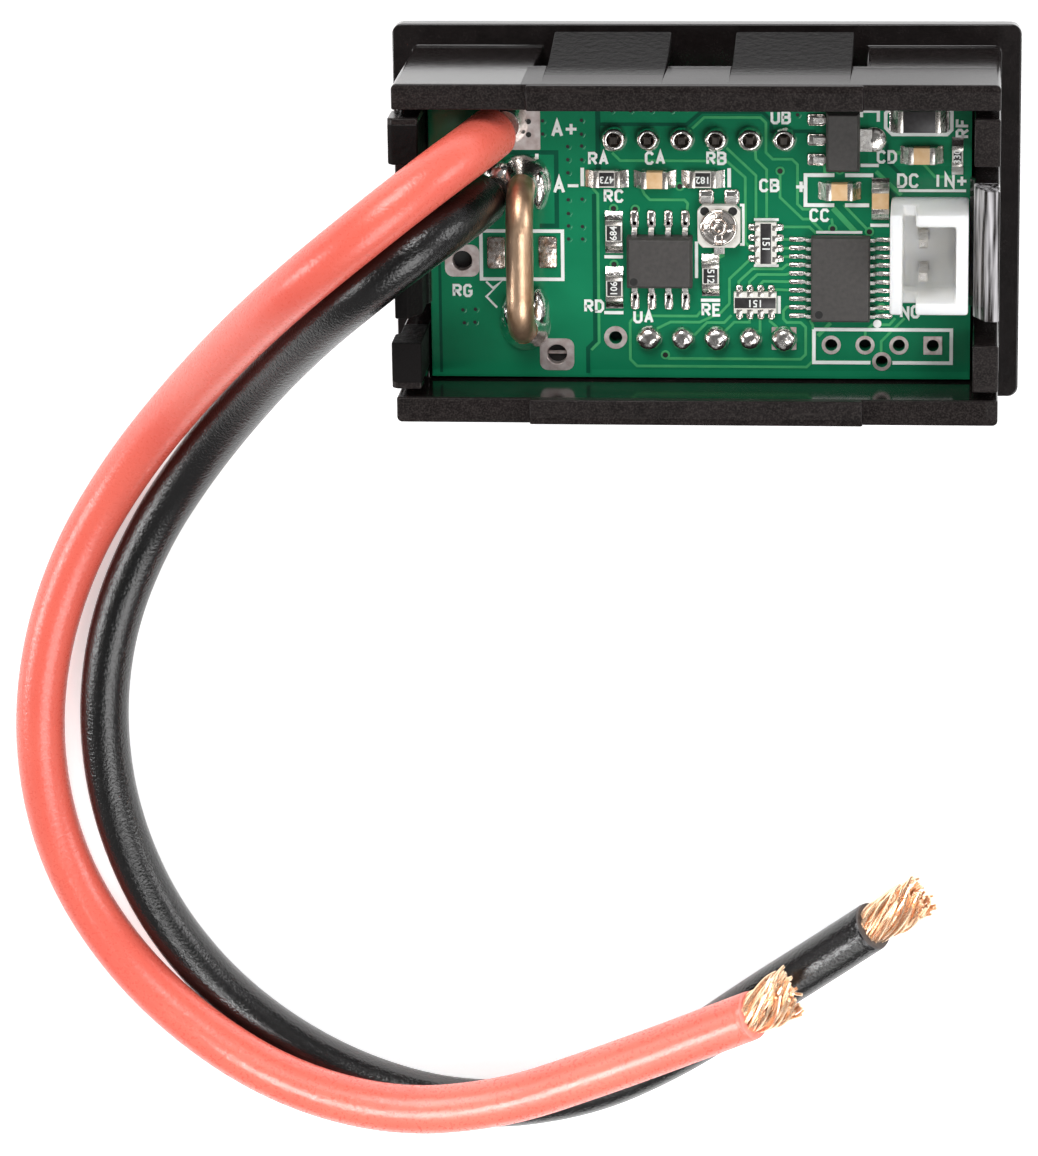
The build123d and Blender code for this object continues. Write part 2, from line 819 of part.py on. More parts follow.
# Regulator: moulded body, three flat leads on one side and a tab on the other
regulator_size = (regulator_width, regulator_length, regulator_height)
save(package_body(regulator_size, (regulator_x, regulator_y), 0), "regulator_body")

with BuildPart() as regulator_leads:
    for i in (-1, 0, 1):
        with Locations((regulator_x - regulator_width / 2, regulator_y + i * regulator_pitch, board_rear)):
            Box(*regulator_lead, align=(Align.MAX, Align.CENTER, Align.MIN))
    with Locations((regulator_x + regulator_width / 2, regulator_y, board_rear)):
        Box(*regulator_tab, align=(Align.MIN, Align.CENTER, Align.MIN))
save(regulator_leads.part, "regulator_leads")

# Trimmer: square base, turning rotor, rivet and three terminals
rotor_floor = board_rear + trimmer_base_height + rotor_gap
rotor_top = rotor_floor + rotor_thickness
with BuildPart() as trimmer_base:
    with Locations((trimmer_x, trimmer_y, board_rear)):
        Box(trimmer_side, trimmer_side, trimmer_base_height, align=RESTING)
        Cylinder(rivet_shank / 2, trimmer_base_height, align=RESTING, mode=Mode.SUBTRACT)
    chamfer(trimmer_base.edges().filter_by(Axis.Z).group_by(SortBy.LENGTH)[-1], trimmer_bevel)
save(trimmer_base.part, "trimmer_base")

with BuildPart() as trimmer_rotor:
    with Locations((trimmer_x, trimmer_y, rotor_floor)):
        Cylinder(rotor_diameter / 2, rotor_thickness, align=RESTING)
        Cylinder(rivet_shank / 2 + rotor_gap, rotor_thickness, align=RESTING, mode=Mode.SUBTRACT)
    with Locations((trimmer_x, trimmer_y, rotor_top - rotor_slot_depth)):
        Box(rotor_diameter, rotor_slot_width, rotor_slot_depth, align=RESTING, mode=Mode.SUBTRACT)
        Box(rotor_slot_width, rotor_diameter, rotor_slot_depth, align=RESTING, mode=Mode.SUBTRACT)
save(trimmer_rotor.part, "trimmer_rotor")

with BuildPart() as trimmer_rivet:
    with Locations((trimmer_x, trimmer_y, board_rear)):
        Cylinder(rivet_shank / 2, rotor_top + rotor_gap - board_rear, align=RESTING)
    with Locations((trimmer_x, trimmer_y, rotor_top + rotor_gap)):
        Cone(rivet_shank / 2 + rivet_flange, rivet_shank / 2, rivet_head_height, align=RESTING)
save(trimmer_rivet.part, "trimmer_rivet")

with BuildPart() as trimmer_terminals:
    top_y = trimmer_y + trimmer_side / 2
    for x in (trimmer_x - trimmer_terminal_spread / 2, trimmer_x + trimmer_terminal_spread / 2):
        with Locations((x, top_y, board_rear)):
            Box(*trimmer_terminal, align=(Align.CENTER, Align.MIN, Align.MIN))
    with Locations((trimmer_x, trimmer_y - trimmer_side / 2, board_rear)):
        Box(*trimmer_terminal, align=(Align.CENTER, Align.MAX, Align.MIN))
save(trimmer_terminals.part, "trimmer_terminals")
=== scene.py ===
"""Looks of a digital panel meter that lies face down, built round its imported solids.

The frame's origin is the centre of the bezel's front face. +Z points to the rear of the meter, +X along its
long side and +Y to its top edge. Sizes below are in millimetres unless a name says otherwise.
"""

import logging
import math
import random
from collections.abc import Callable, Sequence
from dataclasses import dataclass
from enum import Enum

import bmesh
import bpy
from mathutils import Matrix, Vector, noise


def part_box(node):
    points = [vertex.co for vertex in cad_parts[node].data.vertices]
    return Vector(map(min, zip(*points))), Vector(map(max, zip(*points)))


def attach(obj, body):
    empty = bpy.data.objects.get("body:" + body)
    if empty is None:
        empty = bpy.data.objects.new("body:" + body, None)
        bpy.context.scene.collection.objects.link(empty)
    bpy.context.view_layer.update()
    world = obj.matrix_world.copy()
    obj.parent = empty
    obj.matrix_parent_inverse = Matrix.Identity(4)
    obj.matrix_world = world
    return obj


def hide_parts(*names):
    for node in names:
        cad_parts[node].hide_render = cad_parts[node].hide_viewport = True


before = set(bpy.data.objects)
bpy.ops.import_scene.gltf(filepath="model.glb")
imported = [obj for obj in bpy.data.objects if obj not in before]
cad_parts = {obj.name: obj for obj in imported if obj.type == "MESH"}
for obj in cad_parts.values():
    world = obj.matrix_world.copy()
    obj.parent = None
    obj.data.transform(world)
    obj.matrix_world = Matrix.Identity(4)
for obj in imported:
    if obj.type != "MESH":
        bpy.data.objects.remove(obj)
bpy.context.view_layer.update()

MM = 0.001
METER = "meter"
ROTOR = "trimmer_rotor"
MADE: dict[str, bpy.types.Material] = {}
log = logging.getLogger("panel_meter")

Colour = tuple[float, float, float]
Point2 = tuple[float, float]
Point3 = tuple[float, float, float]
Socket = bpy.types.NodeSocket
BMesh = bmesh.types.BMesh
BMVert = bmesh.types.BMVert
BMFace = bmesh.types.BMFace


class Surface:
    """A material under construction: a principled shader and the textures that feed it."""

    def __init__(self, name: str) -> None:
        """Start a material.

        Args:
            name: Name of the new material.
        """
        self.material = bpy.data.materials.new(name)
        self.material.use_nodes = True
        self.tree = self.material.node_tree
        self.shader = self.tree.nodes["Principled BSDF"]

    def node(self, kind: str, inputs: dict, **settings: object) -> bpy.types.Node:
        """Add a node and fill its sockets.

        Args:
            kind: Blender's name of the node type.
            inputs: Socket name or number to a value or an output socket.
            settings: Properties of the node.

        Returns:
            The new node.
        """
        made = self.tree.nodes.new(kind)
        for name, value in settings.items():
            setattr(made, name, value)
        for key, value in inputs.items():
            if isinstance(value, Socket):
                self.tree.links.new(value, made.inputs[key])
            else:
                made.inputs[key].default_value = value
        return made

    def feed(self, **sockets: object) -> None:
        """Set or link sockets of the shader.

        Args:
            sockets: Socket name with underscores for spaces, to a value or an output socket.
        """
        for name, value in sockets.items():
            socket = self.shader.inputs[name.replace("_", " ")]
            if isinstance(value, Socket):
                self.tree.links.new(value, socket)
            else:
                socket.default_value = value

    def place(self, stretch: Point3 = (1.0, 1.0, 1.0), turn: Point3 = (0.0, 0.0, 0.0)) -> Socket:
        """Give the piece's own coordinates.

        Args:
            stretch: Scale of the pattern along each axis.
            turn: Rotation of the pattern in degrees.

        Returns:
            The vector socket.
        """
        source = self.node("ShaderNodeTexCoord", {}).outputs["Object"]
        angles = tuple(math.radians(angle) for angle in turn)
        mapping = self.node("ShaderNodeMapping", {"Vector": source, "Rotation": angles, "Scale": stretch})
        return mapping.outputs["Vector"]

    def cloud(self, size: float, detail: float = 3.0, where: Socket | None = None) -> Socket:
        """Add a noise pattern.

        Args:
            size: Size of its features in millimetres.
            detail: Number of finer layers.
            where: Vector socket, or None for the piece's own coordinates.

        Returns:
            The pattern's value socket.
        """
        vector = self.place() if where is None else where
        made = self.node(
            "ShaderNodeTexNoise", {"Vector": vector, "Scale": 1.0 / (size * MM), "Detail": detail}
        )
        return made.outputs["Fac"]

    def spread(
        self, value: Socket, low: float, high: float, start: float = 0.3, end: float = 0.7
    ) -> Socket:
        """Map a pattern's middle range onto low to high.

        Args:
            value: The pattern's value socket.
            low: Result at start.
            high: Result at end.
            start: Pattern value that gives low.
            end: Pattern value that gives high.

        Returns:
            The mapped value socket.
        """
        inputs = {"Value": value, "From Min": start, "From Max": end, "To Min": low, "To Max": high}
        return self.node("ShaderNodeMapRange", inputs).outputs["Result"]

    def tint(self, value: Socket, low: Colour, high: Colour) -> Socket:
        """Blend two colours by a value from 0 to 1.

        Args:
            value: Value socket.
            low: Colour at 0.
            high: Colour at 1.

        Returns:
            The colour socket.
        """
        made = self.node("ShaderNodeMix", {0: value, 6: (*low, 1.0), 7: (*high, 1.0)}, data_type="RGBA")
        return made.outputs[2]

    def combine(self, operation: str, first: Socket, second: Socket) -> Socket:
        """Combine two patterns.

        Args:
            operation: Blender's name of the operation.
            first: Value socket.
            second: Value socket.

        Returns:
            The resulting value socket.
        """
        return self.node("ShaderNodeMath", {0: first, 1: second}, operation=operation).outputs[0]

    def zone(self, x: Point2, y: Point2, z: Point2) -> Socket:
        """Mark a box of the piece's own space, and its twin beyond the XZ plane.

        Args:
            x: Range along X in millimetres.
            y: Range of the distance from the XZ plane, or a range across it.
            z: Range along Z.

        Returns:
            A value socket, 1 inside and 0 outside.
        """
        axes = self.node("ShaderNodeSeparateXYZ", {0: self.place()}).outputs
        values = [axes[0], axes[1], axes[2]]
        if y[0] > 0.0:
            values[1] = self.node("ShaderNodeMath", {0: axes[1]}, operation="ABSOLUTE").outputs[0]
        inside = None
        for value, (low, high) in zip(values, (x, y, z)):
            above = self.spread(value, 0.0, 1.0, low * MM, (low + 0.1) * MM)
            below = self.spread(value, 1.0, 0.0, (high - 0.1) * MM, high * MM)
            part = self.combine("MULTIPLY", above, below)
            inside = part if inside is None else self.combine("MULTIPLY", inside, part)
        return inside

    def overlay(self, share: Socket, colour: Colour) -> None:
        """Lay another colour over the base colour.

        Args:
            share: Value socket from 0 to 1.
            colour: Colour where the share is 1.
        """
        plain = self.shader.inputs["Base Color"].links[0].from_socket
        mixed = self.node("ShaderNodeMix", {0: share, 6: plain, 7: (*colour, 1.0)}, data_type="RGBA")
        self.feed(Base_Color=mixed.outputs[2])

    def relief(self, layers: list[tuple[Socket, float]]) -> None:
        """Raise the surface by patterns, on top of those that it already has.

        Args:
            layers: Value sockets with their depths in millimetres.
        """
        links = self.shader.inputs["Normal"].links
        normal = links[0].from_socket if links else None
        for value, depth in layers:
            inputs = {"Height": value, "Distance": depth * MM, "Strength": 1.0}
            if normal is not None:
                inputs["Normal"] = normal
            normal = self.node("ShaderNodeBump", inputs).outputs["Normal"]
        self.feed(Normal=normal)


@dataclass(frozen=True)
class Finish:
    """A surface with mottled colour, uneven gloss, swell and fine grain."""

    name: str
    base: Colour
    second: Colour
    mottle: float = 2.0
    roughness: tuple[float, float] = (0.4, 0.55)
    metallic: float = 0.0
    specular: float = 0.5
    swell: float = 1.0
    swell_depth: float = 0.0
    grain: float = 0.12
    grain_depth: float = 0.004
    stretch: Point3 = (1.0, 1.0, 1.0)

    def dress(self, surface: Surface) -> None:
        """Add the textures to a fresh material.

        Args:
            surface: Material to fill.
        """
        where = surface.place(self.stretch)
        broad = surface.cloud(self.mottle, 4.0, where)
        fine = surface.cloud(self.grain, 3.0, where)
        surface.feed(
            Base_Color=surface.tint(surface.spread(broad, 0.0, 1.0), self.base, self.second),
            Roughness=surface.spread(fine, *self.roughness),
            Metallic=self.metallic,
            Specular_IOR_Level=self.specular,
        )
        layers = [(fine, self.grain_depth)]
        if self.swell_depth:
            layers.insert(0, (surface.cloud(self.swell, 2.0, where), self.swell_depth))
        surface.relief(layers)

    def material(self) -> bpy.types.Material:
        """Give the finish's material, made on first use.

        Returns:
            The material.
        """
        if self.name not in MADE:
            surface = Surface(f"{self.name}_finish")
            self.dress(surface)
            MADE[self.name] = surface.material
        return MADE[self.name]


@dataclass(frozen=True)
class CaseFinish(Finish):
    """A moulded case: rubbed specks, coarse tongues, a dull ledge, and grooves on the right clip arm under
    painted highlight streaks.
    """

    rub: Colour = (0.07, 0.06, 0.056)
    skin: Colour = (0.009, 0.008, 0.008)
    # Colour of the painted highlight streaks on the right clip arm.
    streak_highlight: Colour = (0.66, 0.64, 0.66)
    scratch_size: float = 0.5
    speck_size: float = 0.13
    pit_size: float = 0.55
    pit_depth: float = 0.16
    streak_size: float = 0.34
    streak_depth: float = 0.05
    plain_level: float = 0.5
    dull_level: float = 0.05
    rim_level: float = 0.14

    def dress(self, surface: Surface) -> None:
        """Add what sets single places of the case apart.

        Args:
            surface: Material to fill.
        """
        super().dress(surface)
        rim = surface.zone((-24.0, 24.0), (-13.5, 13.5), (17.9, 19.2))
        inside = surface.zone((-21.6, 21.6), (-13.0, -10.9), (11.0, 18.6))
        ledge = surface.zone((-12.9, 24.0), (12.2, 14.0), (11.0, 18.9))
        arm = surface.zone((20.4, 23.0), (-6.3, 6.3), (15.0, 19.0))
        tongues = surface.zone((-11.6, 11.6), (12.9, 15.0), (3.0, 19.0))
        left_arm = surface.zone((-24.0, -20.3), (-9.8, 9.8), (12.0, 19.2))
        coarse = surface.combine("MAXIMUM", tongues, left_arm)
        drawn = surface.cloud(self.streak_size, 3.0, surface.place((1.0, 0.04, 0.5)))
        highlit_streaks = surface.combine("MULTIPLY", arm, surface.spread(drawn, 0.0, 1.0, 0.4, 0.66))
        surface.overlay(self.worn(surface, rim), self.rub)
        surface.overlay(coarse, self.skin)
        # Painted highlight: pale streaks on the black right clip arm stand for the light that its grooved
        # face reflects.
        surface.overlay(highlit_streaks, self.streak_highlight)
        gloss = surface.shader.inputs["Roughness"].links[0].from_socket
        for place, added in ((coarse, 0.4), (rim, 0.2), (inside, 0.25)):
            inputs = {0: place, 1: added, 2: gloss}
            gloss = surface.node("ShaderNodeMath", inputs, operation="MULTIPLY_ADD").outputs[0]
        dull = surface.combine("MAXIMUM", surface.combine("MAXIMUM", coarse, inside), ledge)
        level = surface.combine(
            "MINIMUM",
            surface.spread(dull, self.plain_level, self.dull_level, 0.0, 1.0),
            surface.spread(rim, self.plain_level, self.rim_level, 0.0, 1.0),
        )
        surface.feed(Roughness=gloss, Specular_IOR_Level=level)
        pits = surface.combine("MULTIPLY", coarse, surface.cloud(self.pit_size, 5.0))
        grooves = surface.combine("MULTIPLY", arm, drawn)
        surface.relief([(pits, self.pit_depth), (grooves, self.streak_depth)])

    def worn(self, surface: Surface, rim: Socket) -> Socket:
        """Mark where the case is scratched and rubbed, most of all on its rims.

        Args:
            surface: Material to fill.
            rim: Value socket, 1 on the rims.

        Returns:
            The value socket of the marks.
        """
        along = surface.place((0.12, 1.0, 1.0), (0.0, 0.0, 7.0))
        scratches = surface.spread(surface.cloud(self.scratch_size, 5.0, along), 0.0, 0.4, 0.64, 0.76)
        specks = surface.spread(surface.cloud(self.speck_size, 6.0), 0.0, 0.5, 0.42, 0.76)
        marks = surface.combine("MAXIMUM", scratches, specks)
        return surface.combine("MULTIPLY", marks, surface.spread(rim, 0.25, 1.0, 0.0, 1.0))


@dataclass(frozen=True)
class FilterFinish(Finish):
    """A clear tinted plate."""

    def dress(self, surface: Surface) -> None:
        """Let most of the light through.

        Args:
            surface: Material to fill.
        """
        super().dress(surface)
        surface.feed(Transmission_Weight=0.95, IOR=1.49)


@dataclass(frozen=True)
class MilkyFinish(Finish):
    """A pale plastic that light soaks into."""

    depth: float = 1.4

    def dress(self, surface: Surface) -> None:
        """Let light spread under the skin.

        Args:
            surface: Material to fill.
        """
        super().dress(surface)
        surface.feed(
            Subsurface_Weight=0.95, Subsurface_Radius=(1.0, 0.95, 0.85), Subsurface_Scale=self.depth * MM
        )


RED_INSULATION = Finish(
    "red_insulation", (0.82, 0.15, 0.105), (0.78, 0.12, 0.085), mottle=9.0, roughness=(0.24, 0.36),
    swell=0.9, swell_depth=0.012, grain=0.28, grain_depth=0.03, specular=0.6,
)
BLACK_INSULATION = Finish(
    "black_insulation", (0.0035, 0.0033, 0.0033), (0.006, 0.0055, 0.0055), mottle=6.0,
    roughness=(0.17, 0.27), swell=0.8, swell_depth=0.01, grain=0.22, grain_depth=0.05, specular=0.6,
)
RED_CUT = Finish(
    "red_cut", (0.85, 0.27, 0.22), (0.78, 0.2, 0.16), mottle=0.5, roughness=(0.5, 0.7),
    grain=0.1, grain_depth=0.02,
)
BLACK_CUT = Finish(
    "black_cut", (0.075, 0.062, 0.058), (0.045, 0.038, 0.036), mottle=0.4, roughness=(0.45, 0.65),
    grain=0.1, grain_depth=0.02,
)
CASE_BLACK = CaseFinish(
    "case_black", (0.0065, 0.005, 0.005), (0.013, 0.010, 0.010), mottle=1.4, roughness=(0.09, 0.16),
    swell=0.7, swell_depth=0.003, grain=0.16, grain_depth=0.0015,
)
BOARD_GREEN = Finish(
    "board_green", (0.004, 0.165, 0.072), (0.006, 0.185, 0.082), mottle=3.0, roughness=(0.1, 0.18),
    swell=0.9, swell_depth=0.003, grain=0.25, grain_depth=0.0015, specular=0.4,
)
POUR_GREEN = Finish(
    "pour_green", (0.006, 0.195, 0.086), (0.008, 0.215, 0.096), mottle=3.0, roughness=(0.1, 0.18),
    swell=0.9, swell_depth=0.003, grain=0.25, grain_depth=0.0015, specular=0.4,
)
TRACK_GREEN = Finish(
    "track_green", (0.045, 0.33, 0.125), (0.065, 0.37, 0.14), mottle=1.0, roughness=(0.12, 0.22),
    grain=0.2, grain_depth=0.002, specular=0.4,
)
GAP_GREEN = Finish(
    "gap_green", (0.002, 0.075, 0.04), (0.003, 0.09, 0.048), mottle=2.0, roughness=(0.1, 0.18),
    grain=0.2, grain_depth=0.0015, specular=0.4,
)
SILK_WHITE = Finish(
    "silk_white", (0.88, 0.89, 0.87), (0.80, 0.83, 0.80), mottle=0.6, roughness=(0.5, 0.7),
    grain=0.08, grain_depth=0.006,
)
# Painted shade: near-black discs in the via eyes, at the floors of the two large holes, and as the package
# dimples and trimmer notches, standing for the shade inside these holes and recesses.
RECESS_SHADE = Finish(
    "recess_shade", (0.004, 0.004, 0.004), (0.008, 0.008, 0.007), mottle=0.5, roughness=(0.5, 0.7),
    grain=0.05, grain_depth=0.002,
)
SOLDER = Finish(
    "solder", (0.94, 0.92, 0.89), (0.66, 0.61, 0.57), mottle=0.35, roughness=(0.1, 0.26), metallic=1.0,
    swell=0.35, swell_depth=0.035, grain=0.08, grain_depth=0.004,
)
FLUXED_TIN = Finish(
    "fluxed_tin", (0.86, 0.80, 0.76), (0.30, 0.19, 0.13), mottle=0.42, roughness=(0.14, 0.34),
    metallic=0.85, swell=0.35, swell_depth=0.05, grain=0.1, grain_depth=0.006,
)
# Painted shade: the display pins' ends are coloured near-black to stand for the dark reflection in the
# middle of each solder dome, where bare tinned pins would be bright.
SHADED_PIN_END = Finish(
    "shaded_pin_end", (0.05, 0.045, 0.042), (0.09, 0.075, 0.065), mottle=0.3, roughness=(0.25, 0.45), metallic=0.7,
    swell=0.2, swell_depth=0.01, grain=0.06, grain_depth=0.004,
)
ROTOR_METAL = Finish(
    "rotor_metal", (0.90, 0.85, 0.81), (0.70, 0.63, 0.58), mottle=0.6, roughness=(0.12, 0.26), metallic=1.0,
    swell=0.5, swell_depth=0.012, grain=0.12, grain_depth=0.001,
)
TINNED = Finish(
    "tinned", (0.78, 0.76, 0.74), (0.58, 0.55, 0.52), mottle=0.6, roughness=(0.22, 0.42), metallic=1.0,
    swell=0.3, swell_depth=0.012, grain=0.06, grain_depth=0.004,
)
LAND_TIN = Finish(
    "land_tin", (0.70, 0.64, 0.62), (0.46, 0.36, 0.34), mottle=0.55, roughness=(0.3, 0.5), metallic=0.6,
    swell=0.25, swell_depth=0.01, grain=0.06, grain_depth=0.005,
)
COPPER_STRAND = Finish(
    "copper_strand", (1.0, 0.74, 0.53), (1.0, 0.62, 0.38), mottle=0.8, roughness=(0.2, 0.34), metallic=0.9,
    grain=0.06, grain_depth=0.002,
)
SHUNT_COPPER = Finish(
    "shunt_copper", (0.78, 0.53, 0.36), (0.42, 0.24, 0.13), mottle=1.2, roughness=(0.28, 0.44),
    metallic=0.9, swell=0.5, swell_depth=0.016, grain=0.12, grain_depth=0.006, stretch=(1.0, 0.4, 1.0),
)
NYLON = MilkyFinish(
    "nylon", (0.985, 0.972, 0.935), (0.97, 0.955, 0.91), mottle=2.0, roughness=(0.35, 0.5),
    swell=0.8, swell_depth=0.006, grain=0.12, grain_depth=0.004, depth=4.0,
)
PACKAGE_GREY = Finish(
    "package_grey", (0.040, 0.037, 0.035), (0.056, 0.051, 0.048), mottle=0.35, roughness=(0.42, 0.62),
    swell=0.1, swell_depth=0.006, grain=0.05, grain_depth=0.008,
)
CERAMIC_WHITE = Finish(
    "ceramic_white", (0.82, 0.80, 0.74), (0.74, 0.71, 0.66), mottle=0.5, roughness=(0.4, 0.6),
    grain=0.06, grain_depth=0.004,
)
RESISTOR_GLAZE = Finish(
    "resistor_glaze", (0.018, 0.016, 0.017), (0.032, 0.028, 0.03), mottle=0.3, roughness=(0.3, 0.5),
    grain=0.05, grain_depth=0.004,
)
CAPACITOR_TAN = Finish(
    "capacitor_tan", (0.74, 0.46, 0.22), (0.82, 0.57, 0.33), mottle=0.6, roughness=(0.35, 0.5),
    grain=0.07, grain_depth=0.004,
)
PLATED = Finish(
    "plated", (0.72, 0.69, 0.65), (0.56, 0.52, 0.47), mottle=0.5, roughness=(0.2, 0.36), metallic=1.0,
    swell=0.25, swell_depth=0.01, grain=0.06, grain_depth=0.004,
)
DISPLAY_GREY = Finish(
    "display_grey", (0.045, 0.045, 0.048), (0.06, 0.06, 0.063), mottle=1.5, roughness=(0.5, 0.65),
    grain=0.1, grain_depth=0.006,
)
SEGMENT_MILK = Finish(
    "segment_milk", (0.74, 0.66, 0.62), (0.66, 0.58, 0.55), mottle=1.0, roughness=(0.4, 0.55),
    grain=0.1, grain_depth=0.003,
)
FILTER_RED = FilterFinish(
    "filter_red", (0.80, 0.035, 0.03), (0.74, 0.03, 0.026), mottle=6.0, roughness=(0.06, 0.12),
    grain=0.3, grain_depth=0.001,
)


def make_piece(
    name: str,
    bm: BMesh,
    finishes: list[Finish],
    replaced: tuple[str, ...] = (),
    body: str = METER,
    crease: float = 40.0,
) -> bpy.types.Object:
    """Turn a finished bmesh into a piece that rides on a body.

    Args:
        name: Name of the piece.
        bm: Its mesh in metres, freed here.
        finishes: One per material number of the faces.
        replaced: Solids that the piece stands for.
        body: Body that it moves with.
        crease: Angle in degrees above which an edge stays sharp.

    Returns:
        The new object.
    """
    mesh = bpy.data.meshes.new(name)
    bm.to_mesh(mesh)
    bm.free()
    for finish in finishes:
        mesh.materials.append(finish.material())
    mesh.shade_smooth()
    mesh.set_sharp_from_angle(angle=math.radians(crease))
    piece = bpy.data.objects.new(name, mesh)
    bpy.context.scene.collection.objects.link(piece)
    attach(piece, body)
    if replaced:
        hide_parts(*replaced)
    log.info("%s: %d faces", name, len(mesh.polygons))
    return piece


def in_mm(box: tuple[Vector, Vector]) -> tuple[Vector, Vector]:
    """Give the lowest and highest corner of a box in millimetres."""
    low, high = box
    return low / MM, high / MM


def softened_copy(node: str, bevel: float, finish: Finish) -> bpy.types.Object:
    """Stand a copy with rounded edges in for a solid.

    Args:
        node: Name of the solid.
        bevel: Width of the rounding in millimetres.
        finish: Its surface.

    Returns:
        The new object.
    """
    bm = bmesh.new()
    bm.from_mesh(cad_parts[node].data)
    rounding = bm.faces.layers.int.new("rounding")
    bmesh.ops.remove_doubles(bm, verts=bm.verts, dist=1e-6)
    bmesh.ops.dissolve_limit(
        bm, angle_limit=math.radians(0.5), use_dissolve_boundaries=False, verts=bm.verts, edges=bm.edges
    )
    sharp = [e for e in bm.edges if e.is_manifold and e.calc_face_angle() > math.radians(32.0)]
    made = bmesh.ops.bevel(
        bm, geom=sharp, offset=bevel * MM, segments=2, profile=0.5, affect="EDGES", material=-1,
        clamp_overlap=True,
    )
    for face in made["faces"]:
        face[rounding] = 1
    bmesh.ops.triangulate(bm, faces=[f for f in bm.faces if len(f.verts) > 4])
    piece = make_piece(f"{node}_finished", bm, [finish], (node,), crease=60.0)
    harden(piece.data)
    return piece


def harden(mesh: bpy.types.Mesh, flat_limit: float = 25.0, round_limit: float = 60.0) -> None:
    """Keep the flat faces of a mesh flat and let only its roundings blend.

    Args:
        mesh: Mesh whose faces tell whether they belong to a rounding.
        flat_limit: Largest angle in degrees between flat faces that blend.
        round_limit: The same where a rounding is involved.
    """
    rounding = [item.value for item in mesh.attributes["rounding"].data]
    normals = [face.normal.copy() for face in mesh.polygons]
    around: list[list[int]] = [[] for _ in mesh.vertices]
    for face in mesh.polygons:
        for vertex in face.vertices:
            around[vertex].append(face.index)
    blended = []
    for face in mesh.polygons:
        for vertex in face.vertices:
            total = Vector((0.0, 0.0, 0.0))
            for i in around[vertex]:
                limit = round_limit if rounding[i] or rounding[face.index] else flat_limit
                if normals[i].dot(normals[face.index]) > math.cos(math.radians(limit)):
                    total += normals[i] * (0.001 if rounding[i] else 1.0)
            blended.append(total.normalized())
    mesh.normals_split_custom_set(blended)
    mesh.attributes.remove(mesh.attributes["rounding"])


def dress_node(node: str, finish: Finish) -> None:
    """Give a solid that keeps its shape its surface.

    Args:
        node: Name of the solid.
        finish: Its surface.
    """
    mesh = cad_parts[node].data
    mesh.materials.clear()
    mesh.materials.append(finish.material())
    log.info("%s: %s", node, finish.name)


def brick(bm: BMesh, low: Vector, high: Vector, bevel: float, material: int = 0) -> None:
    """Add a block with rounded edges.

    Args:
        bm: Mesh to add to.
        low: Lowest corner in metres.
        high: Highest corner in metres.
        bevel: Width of the rounding in millimetres.
        material: Material number of its faces.
    """
    middle, size = (low + high) / 2, high - low
    matrix = Matrix.Translation(middle) @ Matrix.Diagonal((*size, 1.0))
    made = bmesh.ops.create_cube(bm, size=1.0, matrix=matrix)
    edges = list(dict.fromkeys(e for v in made["verts"] for e in v.link_edges))
    for face in dict.fromkeys(f for v in made["verts"] for f in v.link_faces):
        face.material_index = material
    if bevel:
        bmesh.ops.bevel(
            bm, geom=edges, offset=bevel * MM, segments=2, profile=0.5, affect="EDGES", material=-1
        )


def block(bm: BMesh, foot: Point3, size: Point3, bevel: float) -> None:
    """Add a block with rounded edges that stands on a point.

    Args:
        bm: Mesh to add to.
        foot: Middle of its underside, in millimetres.
        size: Its size along X, Y and Z.
        bevel: Width of the rounding.
    """
    half = Vector((size[0] / 2, size[1] / 2, 0.0))
    top = Vector((0.0, 0.0, size[2]))
    brick(bm, (Vector(foot) - half) * MM, (Vector(foot) + half + top) * MM, bevel)


def lathe(bm: BMesh, profile: Sequence[Point2], centre: Point3, steps: int) -> list[BMVert]:
    """Turn a profile about an upright axis.

    Args:
        bm: Mesh to add to.
        profile: Radius and height of each point, in millimetres.
        centre: Foot of the axis, in millimetres.
        steps: Number of steps round the axis.

    Returns:
        The new vertices.
    """
    before = set(bm.verts)
    old_faces = set(bm.faces)
    ring = [bm.verts.new((Vector(centre) + Vector((r, 0.0, z))) * MM) for r, z in profile]
    edges = [bm.edges.new(pair) for pair in zip(ring, ring[1:])]
    bmesh.ops.spin(
        bm, geom=ring + edges, cent=Vector(centre) * MM, axis=(0.0, 0.0, 1.0), angle=math.tau,
        steps=steps, use_merge=True,
    )
    made = [v for v in bm.verts if v not in before]
    bmesh.ops.remove_doubles(bm, verts=made, dist=1e-7)
    bmesh.ops.recalc_face_normals(bm, faces=[f for f in bm.faces if f not in old_faces])
    return [v for v in bm.verts if v not in before]


def ribbon(bm: BMesh, points: list[Point2], width: float, low: float, high: float) -> None:
    """Lay a flat strip with mitred corners.

    Args:
        bm: Mesh to add to.
        points: Middle line in millimetres.
        width: Width of the strip.
        low: Height of its underside.
        high: Height of its top.
    """
    line = [Vector(p) for p in points]
    pairs = []
    for i, here in enumerate(line):
        into = (here - line[i - 1] if i else line[1] - here).normalized()
        out = (line[i + 1] - here).normalized() if i + 1 < len(line) else into
        side = Vector((-into.y - out.y, into.x + out.x)).normalized()
        reach = width / 2 / max(0.3, side.dot(Vector((-into.y, into.x))))
        ends = (here + side * reach, here - side * reach)
        pairs.append([bm.verts.new((c.x * MM, c.y * MM, low * MM)) for c in ends])
    faces = [bm.faces.new((a[0], a[1], b[1], b[0])) for a, b in zip(pairs, pairs[1:])]
    raise_faces(bm, faces, high - low)


